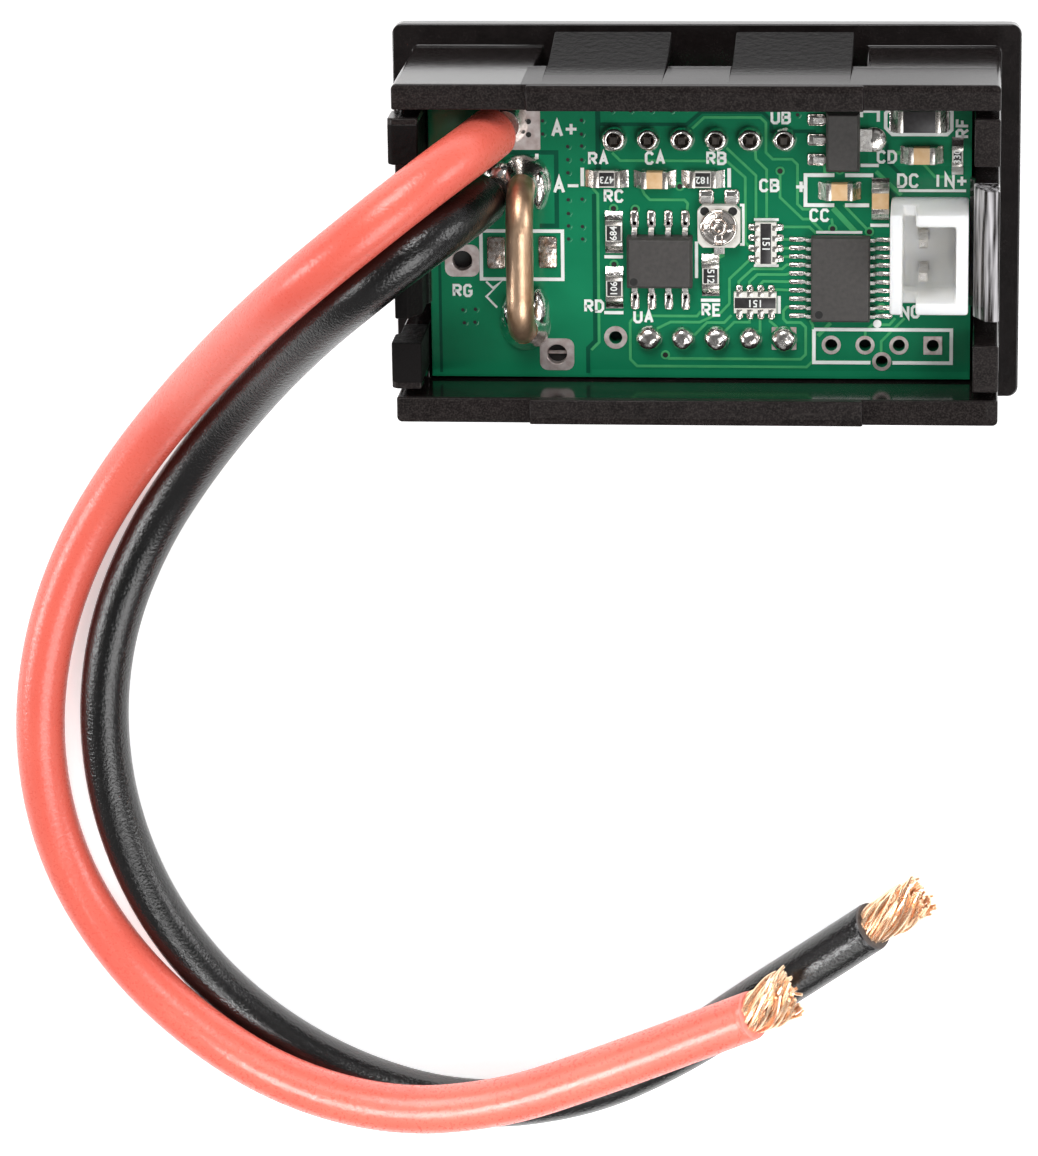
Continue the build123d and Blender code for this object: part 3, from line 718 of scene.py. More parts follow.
def raise_faces(bm: BMesh, faces: list[BMFace], height: float) -> None:
    """Give flat faces a thickness upwards.

    Args:
        bm: Mesh that holds them.
        faces: Flat faces side by side.
        height: Thickness in millimetres.
    """
    made = bmesh.ops.extrude_face_region(bm, geom=faces, use_keep_orig=True)
    verts = [g for g in made["geom"] if isinstance(g, BMVert)]
    bmesh.ops.translate(bm, verts=verts, vec=(0.0, 0.0, height * MM))
    around = dict.fromkeys([*(f for v in verts for f in v.link_faces), *faces])
    bmesh.ops.recalc_face_normals(bm, faces=list(around))


def plate(bm: BMesh, outline: list[Point2], low: float, high: float) -> None:
    """Add a flat plate.

    Args:
        bm: Mesh to add to.
        outline: Its corners in millimetres.
        low: Height of its underside.
        high: Height of its top.
    """
    face = bm.faces.new([bm.verts.new((x * MM, y * MM, low * MM)) for x, y in outline])
    raise_faces(bm, [face], high - low)


def rounded_outline(
    centre: Point2, width: float, height: float, radius: float, steps: int = 4
) -> list[Point2]:
    """Outline a rectangle with round corners.

    Args:
        centre: Its middle.
        width: Its size along X.
        height: Its size along Y.
        radius: Radius of its corners.
        steps: Number of steps round each corner.

    Returns:
        The corners in order.
    """
    points = []
    for quarter, (sx, sy) in enumerate(((1, 1), (-1, 1), (-1, -1), (1, -1))):
        for i in range(steps + 1):
            angle = (quarter + i / steps) * math.pi / 2
            x = centre[0] + sx * (width / 2 - radius) + radius * math.cos(angle)
            y = centre[1] + sy * (height / 2 - radius) + radius * math.sin(angle)
            points.append((x, y))
    return points


def pierced_plate(
    bm: BMesh, outline: list[Point2], centre: Point2, hole: float, low: float, high: float
) -> None:
    """Add a flat plate with a round hole.

    Args:
        bm: Mesh to add to.
        outline: Its corners in millimetres.
        centre: Middle of the hole.
        hole: Radius of the hole.
        low: Height of its underside.
        high: Height of its top.
    """
    count = len(outline)
    turn = math.atan2(outline[0][1] - centre[1], outline[0][0] - centre[0])
    angles = [turn + math.tau * i / count for i in range(count)]
    inner = [(centre[0] + hole * math.cos(a), centre[1] + hole * math.sin(a)) for a in angles]
    loops = []
    for points in (outline, inner):
        verts = [bm.verts.new((x * MM, y * MM, low * MM)) for x, y in points]
        loops.append([bm.edges.new((verts[i], verts[(i + 1) % count])) for i in range(count)])
    made = bmesh.ops.bridge_loops(bm, edges=loops[0] + loops[1])
    raise_faces(bm, made["faces"], high - low)


def words(
    bm: BMesh, text: str, centre: Point3, height: float, turn: float, weight: float, material: int
) -> None:
    """Add flat lettering.

    Args:
        bm: Mesh to add to.
        text: What it says.
        centre: Its middle, in millimetres.
        height: Height of a capital letter.
        turn: Turn about Z in degrees.
        weight: Thickening of the strokes, in millimetres.
        material: Material number of its faces.
    """
    curve = bpy.data.curves.new("lettering", "FONT")
    curve.body = text
    curve.size = height / 0.7
    curve.offset = weight
    curve.align_x = "CENTER"
    curve.align_y = "CENTER"
    curve.resolution_u = 2
    holder = bpy.data.objects.new("lettering", curve)
    mesh = bpy.data.meshes.new_from_object(holder)
    place = Matrix.Translation(centre) @ Matrix.Rotation(math.radians(turn), 4, "Z")
    mesh.transform(Matrix.Scale(MM, 4) @ place)
    before = set(bm.faces)
    bm.from_mesh(mesh)
    for face in set(bm.faces) - before:
        face.material_index = material
    bpy.data.meshes.remove(mesh)
    bpy.data.objects.remove(holder)
    bpy.data.curves.remove(curve)


def inset_block(
    low: Vector, high: Vector, axis: int, along: float, across: float, top: float
) -> tuple[Vector, Vector]:
    """Draw a block in at its ends, its sides and its top.

    Args:
        low: Lowest corner in metres.
        high: Highest corner in metres.
        axis: Number of the axis that the block lies along.
        along: Inset of both ends in millimetres.
        across: Inset of both sides.
        top: Inset of the top, negative to raise it.

    Returns:
        The lowest and highest corner of the smaller block.
    """
    step = Vector((0.0, 0.0, 0.0))
    step[axis] = along * MM
    step[1 - axis] = across * MM
    return low + step, high - step - Vector((0.0, 0.0, top * MM))


def long_axis(node: str) -> int:
    """Tell whether a solid lies along X, 0, or along Y, 1."""
    low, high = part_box(node)
    return 0 if high.x - low.x > high.y - low.y else 1


@dataclass
class PhotoCamera:
    """The camera at the photograph's place."""

    place: Point3 = (20.24, 83.75, 403.87)
    tilt: Point3 = (-15.73, 4.80, 0.56)
    focal_pixels: float = 5333.0
    frame_height: float = 1156.0
    sensor: float = 36.0

    def build(self) -> None:
        """Make the camera and let the scene use it."""
        data = bpy.data.cameras.new("photo_camera")
        data.sensor_fit = "VERTICAL"
        data.sensor_height = self.sensor
        data.lens = self.focal_pixels / self.frame_height * self.sensor
        data.clip_start, data.clip_end = 0.01, 20.0
        camera = bpy.data.objects.new("photo_camera", data)
        turns = [Matrix.Rotation(math.radians(a), 4, axis) for a, axis in zip(self.tilt, "XYZ")]
        camera.matrix_world = Matrix.Translation(Vector(self.place) * MM) @ turns[0] @ turns[1] @ turns[2]
        bpy.context.scene.collection.objects.link(camera)
        bpy.context.scene.camera = camera


@dataclass(frozen=True)
class Lamp:
    """A soft oval lamp; places and sizes are in metres."""

    name: str
    place: Point3
    size: Point2
    power: float
    aim: Point3 = (0.0, 0.0, 0.0)
    spread: float = 180.0

    def build(self) -> None:
        """Hang the lamp and point it."""
        data = bpy.data.lights.new(self.name, "AREA")
        data.shape = "ELLIPSE"
        data.size, data.size_y = self.size
        data.energy = self.power
        data.spread = math.radians(self.spread)
        light = bpy.data.objects.new(self.name, data)
        turn = (Vector(self.aim) - Vector(self.place)).to_track_quat("-Z", "Y").to_matrix().to_4x4()
        light.matrix_world = Matrix.Translation(self.place) @ turn
        light.visible_camera = False
        bpy.context.scene.collection.objects.link(light)


@dataclass
class Studio:
    """A pale light table, soft lamps and a room that is darker overhead."""

    floor_size: float = 6.0
    floor_drop: float = 0.03
    floor_glow: float = 0.5
    surroundings: float = 0.3
    overhead: float = 0.12
    lamps: tuple[Lamp, ...] = (
        Lamp("key_light", (0.42, -0.50, 0.88), (0.8, 0.8), 7.0),
        Lamp("near_light", (-0.036, -0.086, 0.12), (0.05, 0.07), 0.008, (-0.008, -0.072, 0.0), 28.0),
        Lamp("left_light", (-0.80, -0.06, 0.34), (0.2, 0.42), 2.6),
        Lamp("back_light", (-0.15, 0.65, 0.60), (0.5, 0.5), 5.0),
        Lamp("side_light", (0.75, 0.15, 0.35), (0.4, 0.4), 2.0),
    )

    def build(self) -> None:
        """Make the floor, the lamps and the room."""
        self.floor()
        for lamp in self.lamps:
            lamp.build()
        self.room()
        bpy.context.scene.view_settings.view_transform = "Standard"

    def room(self) -> None:
        """Light the scene evenly from the sides and less from above."""
        world = bpy.data.worlds.new("studio")
        world.use_nodes = True
        tree = world.node_tree
        glow = tree.nodes["Background"]
        glow.inputs["Color"].default_value = (1.0, 1.0, 1.0, 1.0)
        heading = tree.nodes.new("ShaderNodeTexCoord")
        height = tree.nodes.new("ShaderNodeSeparateXYZ")
        fade = tree.nodes.new("ShaderNodeMapRange")
        limits = {"From Min": 0.78, "From Max": 0.92, "To Min": self.surroundings, "To Max": self.overhead}
        for name, value in limits.items():
            fade.inputs[name].default_value = value
        tree.links.new(heading.outputs["Object"], height.inputs[0])
        tree.links.new(height.outputs[2], fade.inputs["Value"])
        tree.links.new(fade.outputs["Result"], glow.inputs["Strength"])
        bpy.context.scene.world = world

    def floor(self) -> None:
        """Make the pale floor just under the bezel."""
        bm = bmesh.new()
        bmesh.ops.create_grid(bm, x_segments=2, y_segments=2, size=self.floor_size / 2)
        bmesh.ops.translate(bm, verts=bm.verts, vec=(0.0, 0.0, -self.floor_drop * MM))
        mesh = bpy.data.meshes.new("floor")
        bm.to_mesh(mesh)
        bm.free()
        pale = Finish(
            "floor_pale", (0.93, 0.93, 0.93), (0.91, 0.91, 0.91), mottle=60.0, roughness=(0.6, 0.7)
        )
        surface = Surface(pale.name)
        pale.dress(surface)
        surface.feed(Emission_Color=(1.0, 1.0, 1.0, 1.0), Emission_Strength=self.floor_glow)
        mesh.materials.append(surface.material)
        floor = bpy.data.objects.new("floor", mesh)
        bpy.context.scene.collection.objects.link(floor)


@dataclass
class Lead:
    """An insulated lead with a fan of bare strands at its free end."""

    colour: str
    route: list[Point3]
    finish: Finish
    length: float
    seed: int
    lean: Point3
    cut: Finish
    cut_slope: float = 0.42
    diameter: float = 3.9
    core: float = 2.7
    rim_length: float = 0.45
    strand: float = 0.25
    strand_count: int = 125
    strand_length: float = 5.4
    tuck: float = 0.3
    opening: float = 0.55
    wave: float = 0.25
    hook_start: float = 0.7
    hook_rate: float = 2.5

    def build(self) -> None:
        tube = self.tube()
        self.rims()
        self.strands()

    def tube(self) -> bpy.types.Object:
        """Make the insulated tube along its route.

        Returns:
            The curve object.
        """
        name = f"{self.colour}_lead_insulation"
        curve = bpy.data.curves.new(name, "CURVE")
        curve.dimensions = "3D"
        curve.resolution_u = 10
        curve.bevel_depth = self.diameter / 2 * MM
        curve.bevel_resolution = 10
        curve.use_fill_caps = True
        spline = curve.splines.new("NURBS")
        spline.points.add(len(self.route) - 1)
        for point, place in zip(spline.points, self.route):
            point.co = (*(v * MM for v in place), 1.0)
        spline.order_u = 3
        spline.use_endpoint_u = True
        curve.materials.append(self.finish.material())
        tube = bpy.data.objects.new(name, curve)
        bpy.context.scene.collection.objects.link(tube)
        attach(tube, METER)
        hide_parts(f"{self.colour}_lead")
        log.info("%s: %d route points", name, len(self.route))
        return tube

    def rims(self) -> bpy.types.Object:
        """Make the cut rims of the insulation at both ends.

        Returns:
            The mesh object.
        """
        outer, inner = self.diameter / 2, self.core / 2
        profile = [
            (inner, -0.2), (inner, self.rim_length - 0.05), (inner + 0.05, self.rim_length),
            (outer - 0.08, self.rim_length), (outer - 0.01, self.rim_length - 0.08), (outer, 0.0),
            (outer - 0.1, -0.2),
        ]
        bm = bmesh.new()
        for end, before in ((self.route[-1], self.route[-2]), (self.route[0], self.route[1])):
            along = (Vector(end) - Vector(before)).normalized()
            turn = along.to_track_quat("Z", "Y").to_matrix().to_4x4()
            old_faces = set(bm.faces)
            verts = lathe(bm, profile, (0.0, 0.0, 0.0), 40)
            bm.normal_update()
            for face in set(bm.faces) - old_faces:
                face.material_index = 1 if abs(face.normal.z) > 0.6 else 0
            if end is self.route[-1]:
                for vert in verts:
                    share = max(0.0, vert.co.z / (self.rim_length * MM))
                    vert.co.z += self.cut_slope * (outer * MM - vert.co.y) * share
            bmesh.ops.transform(bm, matrix=Matrix.Translation(Vector(end) * MM) @ turn, verts=verts)
        finishes = [self.finish, self.cut]
        return make_piece(f"{self.colour}_lead_rims", bm, finishes)

    def strands(self) -> bpy.types.Object:
        """Make the fan of bare strands.

        Returns:
            The mesh object.
        """
        draw = random.Random(self.seed)
        curve = bpy.data.curves.new("strands", "CURVE")
        curve.dimensions = "3D"
        curve.resolution_u = 3
        curve.bevel_depth = self.strand / 2 * MM
        curve.bevel_resolution = 1
        curve.use_fill_caps = True
        for i in range(self.strand_count):
            spline = curve.splines.new("NURBS")
            places = self.strand_places(draw, i)
            spline.points.add(len(places) - 1)
            for point, place in zip(spline.points, places):
                point.co = (*(place * MM), 1.0)
            spline.order_u = 4
            spline.use_endpoint_u = True
        holder = bpy.data.objects.new("strands", curve)
        mesh = bpy.data.meshes.new_from_object(holder)
        bm = bmesh.new()
        bm.from_mesh(mesh)
        bpy.data.meshes.remove(mesh)
        bpy.data.objects.remove(holder)
        bpy.data.curves.remove(curve)
        bmesh.ops.remove_doubles(bm, verts=bm.verts, dist=1e-7)
        name = f"{self.colour}_strand_fan"
        return make_piece(name, bm, [COPPER_STRAND], (f"{self.colour}_strands",))

    def strand_places(self, draw: random.Random, number: int) -> list[Vector]:
        """Choose the control points of one strand.

        Args:
            draw: Source of the strand's own variation.
            number: Number of the strand, counted from the middle outwards.

        Returns:
            The points in millimetres.
        """
        end, before = Vector(self.route[-1]), Vector(self.route[-2])
        along = (end - before).normalized()
        level = Vector((0.0, 0.0, 1.0)).cross(along).normalized()
        up = along.cross(level)
        radius = self.core / 2 * math.sqrt((number + 0.5) / self.strand_count)
        golden = math.pi * (3.0 - math.sqrt(5.0))
        reach = self.strand_length * draw.uniform(0.7, 1.0)
        opening = self.opening * draw.uniform(0.6, 1.1)
        twist = draw.uniform(1.9, 2.7)
        phase = draw.uniform(0.0, math.tau)
        hook = draw.uniform(0.3, 1.0) if draw.random() < 0.3 else 0.0
        points = []
        steps = 8
        for step in range(steps + 1):
            share = step / steps
            angle = number * golden - twist * share
            outward = level * math.cos(angle) + up * math.sin(angle)
            place = end + along * (share * (reach + self.tuck) - self.tuck)
            place += outward * (radius * (1.0 + opening * share**0.8))
            ripple = self.wave * share * math.sin(phase + 7.0 * share)
            place += (level * math.cos(phase) + up * math.sin(phase)) * ripple
            place += Vector(self.lean) * share**2
            if hook and share > self.hook_start:
                curl = up * math.cos(phase) + level * math.sin(phase) - along * 0.8
                place += curl * hook * (share - self.hook_start) * self.hook_rate
            place.z = max(place.z, self.strand)
            points.append(place)
        return points


RED_ROUTE: list[Point3] = [
    (-15.4, 8.4, 14.9), (-16.3, 8.0, 17.5), (-18.0, 7.1, 20.2), (-20.7, 5.3, 22.3), (-24.4, 2.5, 23.4),
    (-29.3, -1.7, 21.6), (-34.9, -7.5, 14.9), (-40.5, -14.1, 7.4), (-45.7, -20.8, 3.2),
    (-50.0, -27.9, 1.97), (-52.8, -35.9, 1.97), (-53.6, -44.5, 1.97), (-52.0, -53.2, 1.97),
    (-47.7, -60.7, 2.7), (-41.3, -66.2, 5.1), (-33.7, -70.6, 6.2), (-25.0, -72.9, 6.2),
    (-16.4, -72.0, 6.2), (-8.6, -69.1, 6.2), (-2.4, -66.6, 6.2), (2.6, -64.5, 6.2),
]
BLACK_ROUTE: list[Point3] = [
    (-16.2, 3.4, 14.9), (-17.1, 3.0, 17.5), (-18.7, 2.2, 20.1), (-21.3, 0.5, 21.5), (-25.0, -2.6, 20.6),
    (-29.3, -6.8, 15.9), (-34.5, -12.8, 8.9), (-39.8, -19.6, 4.0), (-44.2, -26.3, 1.97),
    (-47.3, -33.7, 1.97), (-48.4, -41.8, 1.97), (-47.4, -50.1, 1.97), (-44.0, -58.4, 1.97),
    (-38.1, -65.6, 1.97), (-29.7, -71.2, 1.97), (-20.0, -74.0, 1.97), (-10.4, -72.8, 1.97),
    (-2.4, -68.9, 1.97), (4.4, -63.9, 1.97), (8.4, -61.2, 1.97), (12.1, -58.6, 1.97),
]


@dataclass
class Housing:
    """The black case with its tongues and clip arms."""

    bevel: float = 0.14

    def build(self) -> None:
        """Stand a case with rounded edges in for the solid."""
        softened_copy("housing", self.bevel, CASE_BLACK)


@dataclass
class Track:
    """One copper line under the lacquer."""

    points: list[Point2]
    width: float = 0.2


TRACKS: list[Track] = [
    Track([(-6.5, 6.55), (-5.9, 5.95), (2.05, 5.95), (3.45, 4.7), (3.45, -0.25), (3.8, -0.6)]),
    Track([(2.05, 6.95), (4.25, 4.85), (4.25, 1.45)]),
    Track([(4.2, 6.85), (4.25, 6.1), (5.05, 5.3), (5.05, 1.55)]),
    Track([(6.05, 5.2), (6.05, 3.2), (7.75, 1.55), (8.3, 1.55), (9.35, 0.5)]),
    Track(
        [(-0.5, 8.4), (0.4, 9.25), (4.6, 9.25), (5.0, 8.85), (5.0, 6.6), (5.5, 6.1), (6.95, 6.1),
         (7.35, 5.7), (7.35, 2.7), (7.75, 2.3), (8.65, 2.3)]
    ),
    Track([(6.3, 0.95), (8.25, 0.95), (8.75, 0.45)]),
    Track([(6.2, 0.0), (6.95, 0.0)]),
    Track([(6.2, -0.68), (6.95, -0.68)]),
    Track([(6.2, -1.35), (6.95, -1.33)]),
    Track([(6.95, -1.95), (6.55, -1.95), (6.2, -2.27), (4.0, -2.27), (2.95, -3.25), (2.95, -3.6)]),
    Track([(6.95, -2.6), (6.45, -2.7), (4.35, -2.7), (3.75, -3.27), (3.75, -3.6)]),
    Track([(6.95, -3.25), (4.8, -3.22), (4.5, -3.55)]),
    Track([(5.65, -3.85), (6.95, -3.9)]),
    Track(
        [(6.95, -5.18), (6.55, -5.18), (6.3, -5.5), (6.3, -6.1), (6.55, -6.38), (7.6, -6.38), (7.98, -6.75),
         (7.98, -8.85), (7.6, -9.22), (-2.35, -9.22), (-2.6, -8.95)]
    ),
    Track(
        [(8.3, -6.2), (8.52, -6.6), (8.52, -9.35), (8.05, -9.82), (-4.75, -9.82), (-5.25, -9.3),
         (-5.25, -6.4)]
    ),
    Track([(3.75, -6.0), (3.75, -6.38), (2.6, -6.38), (1.95, -7.05)]),
    Track([(4.55, -6.0), (4.55, -7.1), (4.1, -7.3)]),
    Track([(5.3, -6.0), (5.3, -6.3), (6.0, -6.9)]),
    Track(
        [(3.8, -1.55), (2.25, -3.05), (2.25, -4.95), (1.6, -5.65), (0.0, -6.4), (-2.2, -6.4),
         (-3.2, -6.9)]
    ),
    Track([(-8.0, 3.85), (-7.6, 3.4), (-7.6, -8.0), (-8.2, -8.6)]),
    Track([(-4.3, 3.85), (-4.1, 3.4), (-3.7, 2.98), (-1.1, 2.98), (-0.85, 2.7), (-0.95, 2.0)]),
    Track([(0.1, -5.55), (-0.2, -5.93), (-4.8, -5.93), (-5.25, -6.4)]),
    Track([(-0.4, -7.4), (0.55, -6.42), (1.85, -6.42), (2.4, -5.85)]),
    Track([(10.0, 2.4), (11.75, 0.5)], 0.42),
    Track([(10.8, 2.65), (12.6, 0.75)]),
    Track([(9.9, 1.6), (10.0, 1.0)]),
    Track([(12.45, -7.4), (12.45, -7.05), (12.95, -6.52), (14.25, -6.52), (14.7, -6.0)]),
    Track([(8.9, -7.4), (9.85, -6.4)], 0.3),
    Track([(13.65, -8.7), (13.65, -7.8), (15.4, -6.0)]),
    Track([(9.45, 6.0), (9.45, 4.9)], 0.35),
    Track([(13.2, 5.2), (15.1, 3.4)], 0.3),
    Track([(1.75, -1.0), (1.05, -1.4)], 0.7),
    Track([(16.6, 5.9), (17.6, 4.8), (18.9, 4.8)]),
    Track([(14.1, 6.6), (15.2, 6.6)], 0.3),
]
GAPS: list[Track] = [
    Track([(-14.7, 6.55), (-10.7, 6.55), (-10.7, 0.95), (-12.0, 0.95)], 0.34),
    Track([(-7.55, 10.4), (-7.55, 5.2)], 0.36),
    Track([(-7.9, 3.4), (-7.9, -7.9), (-8.45, -8.45), (-8.45, -10.4)], 0.3),
    Track([(-7.5, 8.7), (-0.9, 8.7), (0.2, 9.65), (4.75, 9.65), (5.4, 9.0), (5.4, 8.2), (8.7, 8.2)], 0.26),
    Track([(-19.6, -0.6), (-19.6, -10.4)], 0.22),
    Track([(12.9, 4.9), (14.6, 3.3)], 0.3),
    Track([(14.0, 7.3), (14.0, 6.0), (15.0, 5.0)], 0.25),
]
POURS: list[list[Point2]] = [
    [(-20.2, 6.7), (-7.75, 6.7), (-7.75, 10.55), (-20.2, 10.55)],
    [(-9.7, -10.55), (-8.45, -10.55), (-8.45, -8.45), (-7.9, -7.9), (-7.9, 6.7), (-9.7, 6.7)],
    [(-11.9, -10.55), (-9.7, -10.55), (-9.7, -9.95), (-11.9, -9.95)],
    [(-11.9, -7.95), (-9.7, -7.95), (-9.7, 6.7), (-11.9, 6.7)],
    [(-20.2, -10.55), (-11.9, -10.55), (-11.9, -2.75), (-20.2, -2.75)],
    [(-20.2, -2.75), (-19.0, -2.75), (-19.0, -0.75), (-20.2, -0.75)],
    [(-16.8, -2.75), (-11.9, -2.75), (-11.9, -0.75), (-16.8, -0.75)],
    [(-20.2, -0.75), (-11.9, -0.75), (-11.9, 6.7), (-20.2, 6.7)],
    [(-7.35, 8.85), (-1.0, 8.85), (0.1, 9.8), (4.8, 9.8), (5.6, 9.1), (5.6, 8.35), (8.6, 8.35),
     (8.6, 10.55), (-7.35, 10.55)],
    [(12.6, 5.2), (13.8, 6.2), (13.8, 10.55), (12.6, 10.55)],
    [(14.3, 5.6), (20.2, 5.6), (20.2, 7.6), (14.3, 7.6)],
    [(-8.2, -10.55), (20.2, -10.55), (20.2, -10.1), (-8.2, -10.1)],
]
COVERED_VIAS: list[Point2] = (
    [(-11.7, 8.95), (-11.7, 7.95)]
    + [(-9.83, y) for y in (7.0, 6.0, 5.0, 2.95, 1.9, 0.95, -0.05)]
    + [(-8.78, y) for y in (9.0, 7.95, 7.05, 6.0, 3.0, 0.9, -0.05)]
    + [(x, 9.73) for x in (-6.5, -5.1, -3.55, -2.05)]
    + [(-17.9, -5.55), (-16.95, -5.5), (-17.8, -6.55), (-17.0, -6.5), (7.35, 9.45), (-18.3, -4.3)]
)
OPEN_VIAS: list[Point2] = [
    (6.05, 5.2), (9.98, 0.82), (12.73, 0.6), (10.5, 5.28), (-6.43, 2.3), (-4.8, 2.25), (-6.43, -1.98),
    (-1.45, 4.0), (13.65, -5.2), (-2.6, -8.95),
]
SILK_LINES: list[Track] = [
    Track([(-16.45, 0.55), (-10.3, 0.55), (-10.3, -3.15), (-16.45, -3.15), (-16.45, 0.55)], 0.26),
    Track([(-16.1, -3.35), (-15.6, -3.85), (-14.9, -3.3), (-16.1, -4.5), (-15.3, -5.35)], 0.16),
    Track([(-8.75, 5.4), (-8.75, 4.0)], 0.27),
    Track([(2.25, 5.4), (2.25, 3.95)], 0.27),
    Track([(-7.15, -1.4), (-5.75, -1.4)], 0.24),
    Track([(-7.2, -5.7), (-5.75, -5.7)], 0.24),
    Track([(-0.22, -0.2), (-0.22, -3.0)], 0.24),
    Track([(0.1, -4.7), (1.55, -4.7)], 0.24),
    Track([(10.1, 4.9), (7.95, 4.9), (7.95, 2.62), (10.1, 2.62)], 0.28),
    Track([(10.9, 4.9), (13.0, 4.9)], 0.28),
    Track([(10.9, 2.62), (12.7, 2.62)], 0.28),
    Track([(7.62, 4.4), (7.62, 3.62)], 0.24),
    Track([(7.25, 4.0), (7.85, 4.0)], 0.24),
    Track([(12.1, 9.3), (12.1, 9.75), (13.35, 9.75), (13.35, 8.95)], 0.24),
    Track([(12.05, 5.65), (13.4, 5.65)], 0.24),
    Track([(4.1, 1.5), (5.95, 1.5)], 0.2),
    Track([(4.1, -2.02), (5.95, -2.02)], 0.2),
    Track([(5.98, -4.35), (5.98, -5.7)], 0.24),
    Track([(8.75, 0.55), (12.2, 0.55)], 0.2),
    Track([(8.6, -6.9), (18.9, -6.9), (18.9, -9.45), (14.5, -9.45)], 0.26),
    Track([(8.6, -6.9), (8.6, -9.45), (12.85, -9.45)], 0.26),
    Track([(12.8, 1.1), (14.2, 1.1)], 0.24),
    Track(
        [(14.4, 10.1), (18.45, 10.1), (18.8, 9.75), (18.8, 8.35), (18.45, 8.0), (14.4, 8.0), (13.9, 8.5),
         (13.9, 9.6), (14.4, 10.1)], 0.26
    ),
    Track([(14.9, 3.75), (19.9, 3.75)], 0.2),
    Track([(3.05, 2.6), (3.3, 2.6), (3.3, -0.4), (3.05, -0.4)], 0.2),
    Track([(-12.15, 6.45), (-12.15, 6.05)], 0.26),
]
GLYPHS: dict[str, list[list[Point2]]] = {
    "A": [[(0.0, 0.0), (0.32, 1.0), (0.64, 0.0)], [(0.12, 0.34), (0.52, 0.34)]],
    "B": [
        [(0.0, 0.0), (0.0, 1.0), (0.44, 1.0), (0.6, 0.88), (0.6, 0.64), (0.44, 0.53), (0.0, 0.53)],
        [(0.4, 0.53), (0.62, 0.4), (0.62, 0.14), (0.44, 0.0), (-0.1, 0.0)],
    ],
    "C": [
        [(0.62, 0.8), (0.45, 1.0), (0.17, 1.0), (0.0, 0.82), (0.0, 0.18), (0.17, 0.0), (0.45, 0.0),
         (0.62, 0.2)]
    ],
    "D": [[(0.0, 0.0), (0.0, 1.0), (0.4, 1.0), (0.62, 0.75), (0.62, 0.25), (0.4, 0.0), (-0.1, 0.0)]],
    "E": [[(0.6, 1.0), (0.0, 1.0), (0.0, 0.0), (0.6, 0.0)], [(0.0, 0.53), (0.5, 0.53)]],
    "F": [[(0.6, 1.0), (0.0, 1.0), (0.0, 0.0)], [(0.0, 0.53), (0.5, 0.53)]],
    "G": [
        [(0.62, 0.8), (0.45, 1.0), (0.17, 1.0), (0.0, 0.82), (0.0, 0.18), (0.17, 0.0), (0.45, 0.0),
         (0.62, 0.18), (0.62, 0.45), (0.34, 0.45)]
    ],
    "I": [[(0.32, 0.0), (0.32, 1.0)]],
    "N": [[(0.0, 0.0), (0.0, 1.0), (0.62, 0.0), (0.62, 1.0)]],
    "R": [
        [(0.0, 0.0), (0.0, 1.0), (0.44, 1.0), (0.6, 0.86), (0.6, 0.62), (0.44, 0.48), (0.0, 0.48)],
        [(0.28, 0.48), (0.62, 0.0)],
    ],
    "U": [[(0.0, 1.0), (0.0, 0.18), (0.17, 0.0), (0.45, 0.0), (0.62, 0.18), (0.62, 1.0)]],
    "+": [[(-0.04, 0.48), (0.72, 0.48)], [(0.34, 0.1), (0.34, 0.86)]],
    "-": [[(-0.04, 0.48), (0.72, 0.48)]],
    " ": [],
}


@dataclass
class Label:
    """One plain designator printed on the board in even strokes."""

    text: str
    place: Point2
    height: float = 0.82
    turn: float = 0.0
    stroke: float = 0.2
    advance: float = 0.98

    def draw(self, bm: BMesh, low: float, high: float) -> None:
        """Add the strokes of every letter.

        Args:
            bm: Mesh to add to.
            low: Height of their underside.
            high: Height of their top.
        """
        width = (len(self.text) - 1) * self.advance + 0.62
        turn = Matrix.Rotation(math.radians(self.turn), 2)
        for i, letter in enumerate(self.text):
            for number, line in enumerate(GLYPHS[letter]):
                offset = Vector((i * self.advance - width / 2, -0.5))
                places = [turn @ ((Vector(p) + offset) * self.height) + Vector(self.place) for p in line]
                ribbon(bm, [tuple(p) for p in places], self.stroke, low, high + 0.003 * number)


LABELS: list[Label] = [
    Label("A+", (-10.1, 8.35), 1.05, 0.0, 0.22),
    Label("A-", (-10.0, 4.05), 1.05, 0.0, 0.22),
    Label("RG", (-17.9, -4.05)),
    Label("RA", (-7.55, 6.1)),
    Label("CA", (-3.3, 6.15)),
    Label("RB", (1.3, 6.15)),
    Label("RC", (-6.4, 3.25)),
    Label("RD", (-7.95, -5.2)),
    Label("UA", (-4.25, -6.0)),
    Label("RE", (0.9, -5.45)),
    Label("CB", (5.25, 4.1)),
    Label("CC", (9.0, 1.85)),
    Label("UB", (6.1, 9.25)),
    Label("CD", (14.0, 6.3)),
    Label("RF", (19.6, 8.5), 0.82, 90.0),
    Label("DC IN+", (17.35, 4.5), 0.9),
    Label("NC", (15.8, -5.5)),
]


